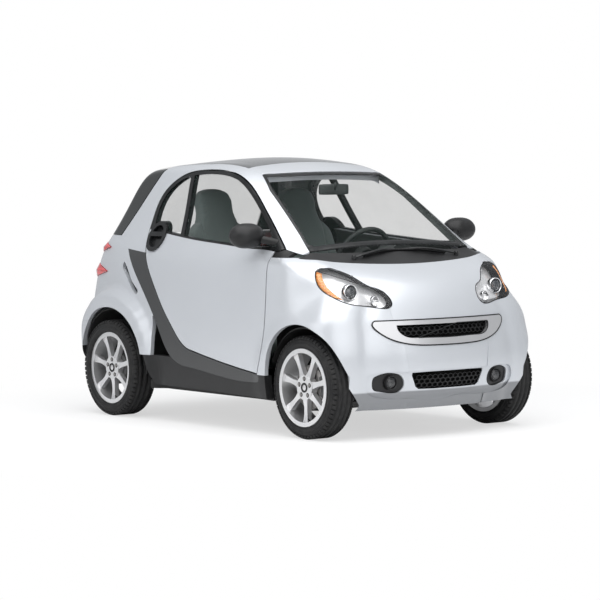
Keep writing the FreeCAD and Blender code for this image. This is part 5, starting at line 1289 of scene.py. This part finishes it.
@dataclass
class Panels:
    """Painted panels, plastic trims and what lines them inside."""

    edge: float = 0.0016
    grille_beads: tuple[float, float] = (0.0042, 0.0028)
    cabin: Vector = field(default_factory=lambda: Vector((0.0, 0.05, 0.95)))

    def inward(self, place: Vector, normal: Vector) -> bool:
        """Whether a face looks into the cabin."""
        return normal.dot(self.cabin - place) > 0.35 * (self.cabin - place).length

    def shell(
        self, node: str, body: str, finish: Material, slot: str, lining: Optional[Material] = None
    ) -> None:
        """Finish one panel, with a lining on its cabin side if it has one."""
        obj = refined(node, self.edge)
        if lining is not None:
            lined(obj, finish, lining, self.inward)
        finished(obj, finish if lining is None else None, body, slot, node)

    def dress(self, look: Palette) -> None:
        """Finish every panel of the body and its lids."""
        for side, _ in SIDES:
            door = "door_" + side
            for name, body, finish, slot, lining in (
                # Front fenders take the silver with painted shade along their lower edge
                ("front_fender_", "body", look.silver_painted_shade, "silver_paint", None),
                ("rear_fender_", "body", look.silver, "silver_paint", None),
                ("safety_cell_", "body", look.silver, "silver_paint", look.lining),
                ("door_", door, look.silver, "silver_paint", look.lining),
                ("side_band_", "body", look.charcoal, "charcoal_paint", None),
                ("sill_", "body", look.trim, "black_plastic", None),
                ("window_frame_", door, look.frames, "black_plastic", None),
            ):
                self.shell(name + side, body, finish, slot, lining)
        for node, finish, slot, lining in (
            ("rear_bumper", look.silver, "silver_paint", None),
            ("service_panel", look.silver, "silver_paint", None),
            # Front bumper takes the silver with painted shade along its lower edge
            ("front_bumper", look.silver_painted_shade, "silver_paint", None),
            ("roof_header", look.silver, "silver_paint", look.lining),
            ("grille_surround", look.satin, "silver_paint", None),
            ("roof_panel", look.roof, "roof_black", look.lining),
            ("cowl", look.trim, "black_plastic", None),
            ("rear_valance", look.trim, "black_plastic", None),
            ("fog_pods", look.trim, "black_plastic", None),
            ("dashboard", look.dash, "dash_plastic", None),
        ):
            self.shell(node, "body", finish, slot, lining)
        self.shell("tailgate", "tailgate_lid", look.silver, "silver_paint", look.lining)
        for i, loop in enumerate(rim_paths("grille_surround", AHEAD)[:2]):
            radius = self.grille_beads[i]
            bead = gasket(f"grille_gasket_{i + 1}", loop, radius, BACK * (radius * 0.5))
            finished(bead, look.frames, "body", "black_plastic")
        for node in ("chassis", "wheel_liners"):
            clad(node, look.under)
        for node in ("engine", "front_axle", "rear_axle", "knuckle_right", "knuckle_left"):
            clad(node, look.cast)


@dataclass
class Windows:
    """Windscreen, side panes and the rear lid."""

    edge: float = 0.0009
    foot: float = 0.045
    head: float = 0.040
    side: float = 0.016
    foot_share: float = 0.10
    head_share: float = 0.93
    view: Vector = field(default_factory=lambda: Vector((0.0, -0.62, 0.785)))

    def dress(self, look: Palette) -> None:
        """Finish every pane and lay the windscreen's printed border."""
        for node, body, pane in (
            ("windscreen", "body", look.clear_glass),
            ("rear_window", "rear_window_lid", look.privacy),
            ("door_glass_right", "door_right", look.glass),
            ("door_glass_left", "door_left", look.glass),
        ):
            finished(refined(node, self.edge), pane, body, "tinted_glass", node)
        view = self.view
        loops = rim_paths("windscreen", view)
        low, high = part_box("windscreen")

        def width(place: Vector) -> float:
            """Width of the border at a place on the outline."""
            share = (place.z - low.z) / (high.z - low.z)
            if share < self.foot_share:
                return self.foot
            return self.head if share > self.head_share else self.side

        if loops:
            print_band = border("screen_border", loops[0], Skin("windscreen"), view, width)
            finished(print_band, look.frames, "body", "tinted_glass")


# Lamps


# Outlines of lamp parts: a share of the lamp's radius, and metres ahead of its middle
LAMP_RING = (
    (0.45, -0.020), (0.80, -0.006), (1.0, 0.008), (1.06, 0.012), (1.12, 0.010), (1.15, -0.002), (1.10, -0.020)
)
LAMP_EYE = ((0.72, -0.006), (0.74, 0.0), (0.66, 0.008), (0.48, 0.013), (0.25, 0.016), (0.0, 0.017))
LAMP_DISH = (
    (0.0, -0.012), (0.25, -0.011), (0.6, -0.006), (0.9, 0.004), (1.0, 0.010), (1.06, 0.006), (1.04, -0.010)
)
FOG_RING = (
    (1.0, -0.040), (1.0, 0.000), (0.97, 0.003), (0.86, 0.002), (0.80, -0.006), (0.80, -0.040)
)
FOG_DOME = ((0.795, -0.010), (0.78, -0.004), (0.6, 0.0005), (0.3, 0.0030), (0.0, 0.0038))
FOG_BOWL = ((0.0, -0.034), (0.3, -0.032), (0.6, -0.024), (0.79, -0.011))


@dataclass
class Headlamp:
    """One headlamp: clear cover, bright bowl, projector and amber strip."""

    side: str
    hand: int
    cover: float = 0.0016
    depth: float = 0.022
    projector: tuple[float, float] = (0.520, 0.803)
    projector_radius: float = 0.039
    strip_span: tuple[float, float] = (0.775, 0.915)
    strip_width: float = 0.036
    strip_rows: int = 15
    strip_reach: float = 0.680
    strip_sink: float = 0.006
    side_lamp: tuple[float, float] = (0.395, 0.752)
    side_lamp_radius: float = 0.026
    wall: float = 0.004
    bowl_shift: float = -0.012
    bead: float = 0.0024

    def mine(self, middle: Vector) -> bool:
        """Whether a solid lies on this side."""
        return middle.x * self.hand > 0

    def sheet(self, name: str, keep: Callable[[Vector], bool], shift: float) -> Object:
        """Copy the faces of the lamp solid whose normals pass a test.

        Args:
            name: the new object's name.
            keep: test on a face's normal.
            shift: distance to move along the car.

        Returns:
            The open sheet.
        """
        obj = refined("headlamps", 0.0, 30.0, self.mine)
        obj.modifiers.clear()
        obj.name = name
        work = bmesh.new()
        work.from_mesh(obj.data)
        lost = [face for face in work.faces if not keep(face.normal)]
        bmesh.ops.delete(work, geom=lost, context="FACES")
        for vert in work.verts:
            vert.co.y += shift
        work.to_mesh(obj.data)
        work.free()
        return obj

    def seat(self, skin: Skin, share: tuple[float, float]) -> Optional[tuple[Vector, Vector]]:
        """Point on the lamp's face ahead of a place given in metres across and above."""
        return skin.hit(Vector((self.hand * share[0], -RAY_START, share[1])), BACK)

    def round_lamp(
        self, name: str, place: Vector, radius: float, profile: Outline, finish: Material
    ) -> None:
        """Build a turned piece that looks straight ahead."""
        ring = [(reach * radius, rise) for reach, rise in profile]
        obj = turned(f"{name}_{self.side}", ring, standing(place, AHEAD), 40)
        finished(obj, finish, "body", "lamp_glass")

    def dress(self, look: Palette) -> None:
        """Build the lamp."""
        skin = Skin("headlamps")
        cover = self.sheet("headlamp_cover_" + self.side, lambda n: n.y < -0.02 or n.z > 0.3, 0.0)
        walled(cover, self.cover)
        finished(cover, look.cover, "body", "lamp_glass", "headlamps")
        bowl = self.sheet("headlamp_bowl_" + self.side, lambda n: n.y > 0.02, self.bowl_shift)
        work = bmesh.new()
        work.from_mesh(bowl.data)
        bmesh.ops.reverse_faces(work, faces=work.faces)
        work.to_mesh(bowl.data)
        work.free()
        finished(bowl, look.reflector, "body", "lamp_glass")
        rim = self.sheet("headlamp_rim_" + self.side, lambda n: abs(n.y) <= 0.02 and n.z <= 0.9, 0.0)
        walled(rim, self.wall)
        finished(rim, look.frames, "body", "black_plastic")
        found = self.seat(skin, self.projector)
        if found:
            place = found[0] + Vector((0, self.depth, 0))
            self.round_lamp("projector_ring", place, self.projector_radius, LAMP_RING, look.bright)
            self.round_lamp("projector_lens", place, self.projector_radius, LAMP_EYE, look.lens)
        found = self.seat(skin, self.side_lamp)
        if found:
            place = found[0] + Vector((0, self.depth, 0))
            self.round_lamp("main_beam", place, self.side_lamp_radius, LAMP_DISH, look.bright)
        self.make_strip(look, skin)
        loops = rim_paths("headlamps", AHEAD, self.mine)
        if loops:
            bead = gasket("headlamp_gasket_" + self.side, loops[0], self.bead, BACK * (self.bead / 2))
            finished(bead, look.frames, "body", "black_plastic")

    def make_strip(self, look: Palette, skin: Skin) -> None:
        """Lay the amber strip along the outer edge, under the cover."""
        points: list[Vector] = []
        foot, head = self.strip_span
        last = self.strip_rows - 1
        for i in range(self.strip_rows):
            z = head + (foot - head) * i / last
            reach = self.strip_reach
            while reach > 0.4 and self.seat(skin, (reach, z)) is None:
                reach -= 0.001
            wide = self.strip_width * (0.55 + 0.45 * i / last)
            low = self.seat(skin, (reach - 0.004, z))
            high = self.seat(skin, (reach - 0.004 - wide, z - 0.010))
            if low is None or high is None:
                continue
            for place in (low[0], low[0].lerp(high[0], 0.5), high[0]):
                points.append(place + Vector((0, self.strip_sink, 0)))
        faces = []
        for i in range(len(points) // 3 - 1):
            for a in (i * 3, i * 3 + 1):
                faces.append((a, a + 1, a + 4, a + 3))
        if not faces:
            return
        strip = outward(mesh_object("amber_strip_" + self.side, points, faces))
        walled(strip, self.wall)
        finished(strip, look.amber, "body", "lamp_glass")


@dataclass
class SmallLamps:
    """Fog lamps and tail lamps."""

    tail_split: float = 0.935
    tail_ridge: float = 0.016
    fog_place: tuple[float, float] = (0.3741, 0.3130)
    fog_radius: float = 0.0395
    fog_depth: float = 0.004
    away: Point = (0.75, 0.66, 0.0)

    def dress(self, look: Palette) -> None:
        """Build both fog lamps and finish the tail lamps."""
        low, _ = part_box("fog_lamps")
        across, up = self.fog_place
        for side, hand in SIDES:
            at = standing(Vector((hand * across, low.y + self.fog_depth, up)), AHEAD)
            for name, shape, steps, finish, slot, closed in (
                ("fog_ring_", FOG_RING, 48, look.trim, "black_plastic", True),
                ("fog_lens_", FOG_DOME, 48, look.fog_glass, "lamp_glass", False),
                ("fog_bowl_", FOG_BOWL, 40, look.bright, "lamp_glass", False),
            ):
                profile = [(share * self.fog_radius, out) for share, out in shape]
                lamp = turned(name + side, profile, at, steps, closed)
                nodes = ("fog_lamps",) if name == "fog_lens_" else ()
                finished(lamp, finish, "body", slot, *nodes)
        self.make_tail(look)

    def make_tail(self, look: Palette) -> None:
        """Raise each red lamp to a ridge across its middle."""
        for side, hand in SIDES:
            for level, sign in (("low", -1), ("high", 1)):

                def mine(middle: Vector, hand: int = hand, sign: int = sign) -> bool:
                    """Whether a solid is this one of the four lamps."""
                    return middle.x * hand > 0 and (middle.z - self.tail_split) * sign > 0

                lamp = refined("tail_lamps", 0.0, 30.0, mine)
                if not lamp.data.vertices:
                    bpy.data.objects.remove(lamp)
                    continue
                lamp.modifiers.clear()
                lamp.name = f"tail_lamp_{level}_{side}"
                heights = [vert.co.z for vert in lamp.data.vertices]
                middle = (min(heights) + max(heights)) / 2
                half = (max(heights) - min(heights)) / 2
                work = bmesh.new()
                work.from_mesh(lamp.data)
                bmesh.ops.triangulate(work, faces=work.faces)
                geom = work.verts[:] + work.edges[:] + work.faces[:]
                bmesh.ops.bisect_plane(work, geom=geom, plane_co=(0, 0, middle), plane_no=(0, 0, 1))
                away = Vector((hand * self.away[0], self.away[1], self.away[2]))
                outer = {v for face in work.faces if face.normal.dot(away) > 0.25 for v in face.verts}
                for vert in outer:
                    vert.co += away * self.tail_ridge * (1 - abs(vert.co.z - middle) / half)
                work.to_mesh(lamp.data)
                work.free()
                softened(lamp, 0.0012, 2, 30.0)
                finished(lamp, look.red, "body", "red_lamp", "tail_lamps")


# Grilles


CELL_TIPS = ((1, 0), (-1, 0), (0, 0.7), (0, -0.7))


@dataclass
class Honeycomb:
    """Honeycomb of both mesh plates, laid on their faces."""

    pitch: float = 0.0350
    wire: float = 0.0042
    depth: float = 0.0060
    squash: float = 0.72
    margin: float = 0.55

    def cell(self) -> Object:
        """One six-sided ring that looks along Z."""
        outer = self.pitch / math.sqrt(3)
        inner = outer - self.wire
        points = []
        for reach, rise in ((outer, 0.0), (outer, self.depth), (inner, self.depth), (inner, 0.0)):
            for k in range(6):
                angle = math.pi * (2 * k + 1) / 6
                points.append((reach * math.cos(angle), reach * math.sin(angle) * self.squash, rise))
        faces = []
        for ring in range(0, 18, 6):
            for k in range(6):
                a, b = ring + k, ring + (k + 1) % 6
                faces.append((a, b, b + 6, a + 6))
        return outward(mesh_object("cell", points, faces, False))

    def dress(self, look: Palette, repeats: Repeats) -> None:
        """Lay the cells on the plates and give the plates behind a near-black painted shade."""
        skin = Skin("grille_meshes")
        low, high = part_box("grille_meshes")
        row_step = self.pitch * 1.5 / math.sqrt(3) * self.squash
        spots = []
        rows = int((high.z - low.z) / row_step) + 2
        columns = int((high.x - low.x) / self.pitch) + 2
        reach = self.pitch / math.sqrt(3) * self.margin
        for row in range(rows):
            for column in range(columns):
                x = low.x + (column + row % 2 / 2) * self.pitch
                start = Vector((x, -RAY_START, low.z + row * row_step))
                found = skin.hit(start, BACK)
                edge = (Vector((reach * c, 0, reach * s)) for c, s in CELL_TIPS)
                if found and all(skin.hit(start + off, BACK) for off in edge):
                    spots.append(Spot(found[0], found[1], Vector((1, 0, 0))))
        mesh = repeats.lay("grille_honeycomb", self.cell(), spots, look.mesh)
        finished(mesh, None, "body", "black_plastic")
        # The plates behind the cells take the near-black painted shade of the grille's openings
        clad("grille_meshes", look.painted_void)


# Windscreen fittings


WIPER_HUB = ((0.0, 0.020), (0.009, 0.020), (0.012, 0.016), (0.012, -0.006))


@dataclass
class Wiper:
    """One wiper parked along the foot of the windscreen."""

    name: str
    pivot: tuple[float, float]
    tip: tuple[float, float]
    arm_share: float = 0.72
    blade_start: float = 0.12
    blade_length: float = 0.70

    def on_glass(self, skin: Skin, x: float, y: float, rise: float) -> Vector:
        """Place above the glass or the cowl at a plan point."""
        found = skin.hit(Vector((x, y, RAY_START)), -UP)
        ground, normal = found if found else (Vector((x, y, 1.0)), UP)
        return ground + normal * rise

    def dress(self, look: Palette) -> None:
        """Build the arm, the blade and the hub."""
        skin = Skin("windscreen", "cowl")
        (x0, y0), (x1, y1) = self.pivot, self.tip
        up = Vector((0, -0.6, 0.8))
        arm = []
        for i in range(9):
            t = i / 8
            rise = 0.010 + 0.014 * math.sin(math.pi * min(t * 1.1, 1.0))
            reach = t * self.arm_share
            arm.append(self.on_glass(skin, x0 + (x1 - x0) * reach, y0 + (y1 - y0) * reach, rise))
        blade = []
        for i in range(13):
            t = self.blade_start + self.blade_length * i / 12
            blade.append(self.on_glass(skin, x0 + (x1 - x0) * t, y0 + (y1 - y0) * t, 0.006))

        def arm_section(t: float) -> Outline:
            """Oval that narrows towards the blade."""
            return superoval(0.017 - 0.009 * t, 0.009 - 0.003 * t, 4.0, 12)

        def blade_section(t: float) -> Outline:
            """Lip under a spoiler that is highest in the middle."""
            tall = 0.006 + 0.009 * math.sin(math.pi * t)
            top = [(-0.0055, tall), (-0.0020, tall + 0.003), (0.0020, tall + 0.003), (0.0055, tall)]
            return top + [(0.0012, -0.005), (-0.0012, -0.005)]

        at = Matrix.Translation(self.on_glass(skin, x0, y0, 0.002))
        for obj, finish in (
            (swept("wiper_arm_" + self.name, arm, arm_section, up), look.frames),
            (swept("wiper_blade_" + self.name, blade, blade_section, up), look.trim),
            (turned("wiper_hub_" + self.name, WIPER_HUB, at, 24), look.frames),
        ):
            finished(obj, finish, "body", "black_plastic")


# Cabin


@dataclass
class Seat:
    """One seat: cushion and back, puffed by a cloth simulation."""

    side: str
    hand: int
    voxel: float = 0.009
    shrink: float = 0.007
    pressure: float = 4.0
    cap: float = 0.012
    steps: int = 20
    inset: float = 0.001
    seam_width: float = 0.007
    seam_depths: tuple[float, float] = (0.006, 0.005)
    seam_offset: float = 0.135
    cushion_seam: float = -0.10
    back_seam: float = 0.98

    def mine(self, middle: Vector) -> bool:
        """Whether a solid lies on this side."""
        return middle.x * self.hand > 0

    def padded(self, node: str, name: str) -> Object:
        """Turn one solid of a node into a puffed pad.

        Args:
            node: the CAD node.
            name: the pad's name.

        Returns:
            The pad, inside the solid's space.
        """
        pad = refined(node, 0.0, 30.0, self.mine)
        pad.modifiers.clear()
        pad.name = name
        low = Vector([min(v.co[i] for v in pad.data.vertices) for i in range(3)])
        high = Vector([max(v.co[i] for v in pad.data.vertices) for i in range(3)])
        remesh = pad.modifiers.new("voxels", "REMESH")
        remesh.mode = "VOXEL"
        remesh.voxel_size = self.voxel
        smooth = pad.modifiers.new("even", "SMOOTH")
        smooth.iterations = 12
        smooth.factor = 0.5
        baked(pad)
        middle = (low + high) / 2
        size = high - low
        scale = Vector([(size[i] - 2 * self.shrink) / size[i] for i in range(3)])
        for vert in pad.data.vertices:
            vert.co = Vector([middle[i] + (vert.co[i] - middle[i]) * scale[i] for i in range(3)])
        self.puff(pad)
        for vert in pad.data.vertices:
            for i in range(3):
                vert.co[i] = min(max(vert.co[i], low[i] + self.inset), high[i] - self.inset)
        return pad

    def puff(self, pad: Object) -> None:
        """Swell the pad with a cloth simulation and cap how far it moves."""
        rest = [vert.co.copy() for vert in pad.data.vertices]
        cloth = pad.modifiers.new("cloth", "CLOTH")
        cloth.settings.quality = 4
        cloth.settings.mass = 0.3
        cloth.settings.use_pressure = True
        cloth.settings.uniform_pressure_force = self.pressure
        cloth.settings.effector_weights.gravity = 0.0
        cloth.point_cache.frame_start = 1
        cloth.point_cache.frame_end = self.steps
        scene = bpy.context.scene
        for step in range(1, self.steps + 1):
            scene.frame_set(step)
        graph = bpy.context.evaluated_depsgraph_get()
        swollen = pad.evaluated_get(graph).to_mesh()
        moved = [vert.co.copy() for vert in swollen.vertices]
        pad.evaluated_get(graph).to_mesh_clear()
        pad.modifiers.clear()
        scene.frame_set(1)
        for vert, start, end in zip(pad.data.vertices, rest, moved):
            way = end - start
            if way.length > self.cap:
                way = way.normalized() * self.cap
            vert.co = start + way

    def seam(self, pad: Object, depth: float, axis: int, line: float) -> None:
        """Press a sewn channel into a pad where a coordinate is near a line."""
        normals = [vert.normal.copy() for vert in pad.data.vertices]
        for vert, normal in zip(pad.data.vertices, normals):
            share = math.exp(-(((vert.co[axis] - line) / self.seam_width) ** 2))
            if share > 0.02:
                vert.co -= normal * depth * share

    def dress(self, look: Palette) -> None:
        """Build the cushion and the back with their seams."""
        low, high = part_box("seat_cushions")
        middle = self.hand * (high.x - 0.24)
        for node, part in (("seat_cushions", "cushion"), ("seat_backs", "back")):
            pad = self.padded(node, f"seat_{part}_{self.side}")
            extra = pad.modifiers.new("fine", "SUBSURF")
            extra.levels = extra.render_levels = 1
            baked(pad)
            for offset in (-self.seam_offset, self.seam_offset):
                self.seam(pad, self.seam_depths[0], 0, middle + offset)
            cross = (1, self.cushion_seam) if part == "cushion" else (2, self.back_seam)
            self.seam(pad, self.seam_depths[1], *cross)
            finished(pad, look.cloth, "body", "seat_fabric")
            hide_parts(node)


MIRROR_STEPS = (-0.105, -0.1, -0.07, -0.03, 0.03, 0.07, 0.1, 0.105)
VENTS = (("outer_right", -0.50), ("inner_right", -0.14), ("inner_left", 0.10), ("outer_left", 0.52))
VENT_RING = ((0.036, -0.004), (0.041, 0.006), (0.047, 0.008), (0.051, -0.004))
SLAT_OFFSETS = (-0.024, -0.012, 0.0, 0.012, 0.024)


@dataclass
class Cabin:
    """Steering wheel, inside mirror and vents."""

    mirror_place: Point = (0.0, -0.300, 1.352)
    vent_height: float = 0.86

    def dress(self, look: Palette, repeats: Repeats) -> None:
        """Build the fittings inside the cabin."""
        wheel = refined("steering_wheel", 0.003)
        finished(wheel, look.dash, "body", "dash_plastic", "steering_wheel")
        self.make_mirror(look)
        self.make_vents(look, repeats)

    def make_mirror(self, look: Palette) -> None:
        """Build the inside mirror on its stalk."""
        x, y, z = self.mirror_place
        path = [Vector((x + t, y + 0.05 * t * t, z)) for t in MIRROR_STEPS]

        def section(t: float) -> Outline:
            """Rounded box that closes towards its ends."""
            full = math.sqrt(max(0.0, 1 - abs(2 * t - 1) ** 5)) * 0.6 + 0.4
            return superoval(0.026 * full, 0.062 * full, 3.5, 16)

        finished(swept("inside_mirror", path, section, UP), look.dash, "body", "dash_plastic")
        skin = Skin("windscreen")
        found = skin.hit(Vector((0.0, y, z + 0.02)), Vector((0, -0.7, 0.7)))
        if found:
            path = [Vector((0, y - 0.01, z)), Vector((0, y - 0.03, z + 0.03))]
            path.append(found[0] + Vector((0, 0.004, -0.004)))
            stalk = swept("mirror_stalk", path, lambda t: superoval(0.016, 0.016, 2.0, 12), UP)
            finished(stalk, look.dash, "body", "dash_plastic")

    def make_vents(self, look: Palette, repeats: Repeats) -> None:
        """Set slatted round vents on the dashboard."""
        skin = Skin("dashboard")
        for name, x in VENTS:
            found = skin.hit(Vector((x, 1.0, self.vent_height)), AHEAD)
            if found is None:
                continue
            place, normal = found
            ring = turned("vent_ring_" + name, VENT_RING, standing(place, normal), 36, True)
            finished(ring, look.frames, "body", "dash_plastic")
            turn = normal.to_track_quat("Z", "Y")
            along = turn @ Vector((1, 0, 0))
            spots = [
                Spot(place + turn @ Vector((0, off, 0.001)), normal, along) for off in SLAT_OFFSETS
            ]
            slat = block("slat", (-0.031, -0.0015, -0.002), (0.031, 0.0015, 0.004), 0.0006)
            slats = repeats.lay("vent_slats_" + name, slat, spots, look.trim)
            finished(slats, None, "body", "dash_plastic")


@dataclass
class DoorMirror:
    """Housing and glass of one door mirror."""

    side: str
    hand: int
    middle: tuple[float, float] = (0.772, 1.105)
    size: tuple[float, float] = (0.150, 0.096)

    def dress(self, look: Palette) -> None:
        """Build the housing and lay its glass."""
        body = "door_" + self.side
        housing = refined("mirror_" + self.side, 0.003)
        finished(housing, look.trim, body, "black_plastic", "mirror_" + self.side)
        skin = Skin("mirror_" + self.side)
        _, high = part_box("mirror_" + self.side)
        start = Vector((self.hand * self.middle[0], high.y + 0.5, self.middle[1]))
        found = skin.hit(start, AHEAD)
        if found is None:
            return
        oval = superoval(*self.size, 2.6, 40)
        rings = [
            [found[0] + Vector((a * share, rise, b * share)) for a, b in oval]
            for share, rise in ((1.0, 0.0012), (0.97, 0.0022))
        ]
        glass = ringed("mirror_glass_" + self.side, rings, smooth=False)
        finished(glass, look.bright, body, "alloy")


# Stage


@dataclass
class Studio:
    """Floor, backdrop, lamps and the camera."""

    place: Vector = field(default_factory=lambda: Vector((-9.10698, -12.14836, 1.52188)))
    yaw: float = -36.775
    pitch: float = 3.101
    roll: float = -0.571
    focal: float = 2579.01
    frame_width: float = 600.0
    sensor: float = 36.0
    clear_from: float = 1.5
    clear_to: float = 3.0
    clear_share: float = 0.60
    floor: float = 60.0

    def make_camera(self) -> None:
        """Stand the camera where the photograph was taken."""
        data = bpy.data.cameras.new("camera")
        data.sensor_width = self.sensor
        data.lens = self.focal * self.sensor / self.frame_width
        data.clip_end = 200.0
        camera = bpy.data.objects.new("camera", data)
        bpy.context.scene.collection.objects.link(camera)
        yaw, pitch = math.radians(self.yaw), math.radians(self.pitch)
        level = math.cos(pitch)
        ahead = Vector((-math.sin(yaw) * level, math.cos(yaw) * level, -math.sin(pitch)))
        roll = Matrix.Rotation(math.radians(self.roll), 3, "Z")
        turn = ahead.to_track_quat("-Z", "Y").to_matrix() @ roll
        camera.matrix_world = Matrix.Translation(self.place) @ turn.to_4x4()
        bpy.context.scene.camera = camera

    def make_floor(self) -> None:
        """Lay the pale floor, which the camera sees as white."""
        corners = [(x * self.floor, y * self.floor, 0) for x, y in ((-1, -1), (1, -1), (1, 1), (-1, 1))]
        floor = mesh_object("floor", corners, [(0, 1, 2, 3)])
        shader = Shader("floor")
        grain = shader.noise(1.2, 2.0) * 0.02 + 0.04
        surface = shader.principled(
            Base_Color=shader.mix(grain, (0.86, 0.86, 0.86), (0.9, 0.9, 0.9)), Roughness=0.8
        )
        across, along = shader.place("X"), shader.place("Y")
        reach = across * across + along * along
        far = reach.between(self.clear_from**2, self.clear_to**2)
        seen = shader.add("ShaderNodeLightPath", {}, {}, "Is Camera Ray")
        inputs = {"Color": (1.0, 1.0, 1.0, 1.0), "Strength": 1.0}
        white = shader.add("ShaderNodeEmission", {}, inputs, "Emission")
        share = seen * (far * (1.0 - self.clear_share) + self.clear_share)
        blend = shader.add("ShaderNodeMixShader", {}, {0: share, 1: surface, 2: white}, "Shader")
        floor.data.materials.append(shader.finish(blend))

    def make_world(self) -> None:
        """Light the scene softly and show white behind the car."""
        world = bpy.data.worlds.new("studio")
        bpy.context.scene.world = world
        shader = Shader("studio", world)
        seen = shader.add("ShaderNodeLightPath", {}, {}, "Is Camera Ray")
        plain, soft = (
            shader.add("ShaderNodeBackground", {}, {"Color": tone, "Strength": strength})
            for tone, strength in (((1, 1, 1, 1), 1.0), ((0.95, 0.97, 1.0, 1), 0.55))
        )
        mixed = shader.add("ShaderNodeMixShader", {}, {0: seen, 1: soft, 2: plain})
        shader.add("ShaderNodeOutputWorld", {}, {0: mixed})

    def lamp(
        self,
        name: str,
        place: Point,
        target: Point,
        size: tuple[float, float],
        power: float,
    ) -> None:
        """Hang one area lamp that points at a target."""
        data = bpy.data.lights.new(name, "AREA")
        data.shape = "RECTANGLE"
        data.size, data.size_y = size
        data.energy = power
        obj = bpy.data.objects.new(name, data)
        bpy.context.scene.collection.objects.link(obj)
        turn = (Vector(target) - Vector(place)).to_track_quat("-Z", "Y").to_matrix().to_4x4()
        obj.matrix_world = Matrix.Translation(place) @ turn

    def build(self) -> None:
        """Set the whole stage."""
        view = bpy.context.scene.view_settings
        view.view_transform = "Standard"
        self.make_camera()
        self.make_floor()
        self.make_world()
        self.lamp("overhead", (-1.0, -1.5, 5.0), (0, 0, 0.6), (7.0, 7.0), 380.0)
        self.lamp("front", (-1.0, -7.5, 3.4), (0, -1.0, 0.6), (8.0, 4.0), 110.0)
        self.lamp("side", (-7.5, 1.0, 2.8), (0, 0.3, 0.6), (8.0, 4.0), 112.0)


AXLES = (
    ("front", 0.6415, -0.9385, 0.284, 0.155, 0.076),
    ("rear", 0.6925, 0.9285, 0.288, 0.170, 0.070),
)


def main() -> None:
    """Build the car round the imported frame, piece by piece."""
    logging.basicConfig(level=logging.INFO, format="%(message)s")
    look = Palette()
    repeats = Repeats()
    Studio().build()
    Panels().dress(look)
    Windows().dress(look)
    for side, hand in SIDES:
        Headlamp(side, hand).dress(look)
        DoorMirror(side, hand).dress(look)
        Seat(side, hand).dress(look)
    SmallLamps().dress(look)
    Honeycomb().dress(look, repeats)
    Wiper("right", (-0.33, -0.905), (0.30, -0.800)).dress(look)
    Wiper("left", (0.42, -0.895), (-0.22, -0.815)).dress(look)
    Cabin().dress(look, repeats)
    for axle, half_track, y, radius, width, rim_half in AXLES:
        for side, hand in SIDES:
            centre = Vector((hand * half_track, y, radius))
            wheel = Wheel(f"{axle}_{side}", hand, centre, radius, width, rim_half, axle == "front")
            wheel.dress(look, repeats)


if __name__ == "__main__":
    main()
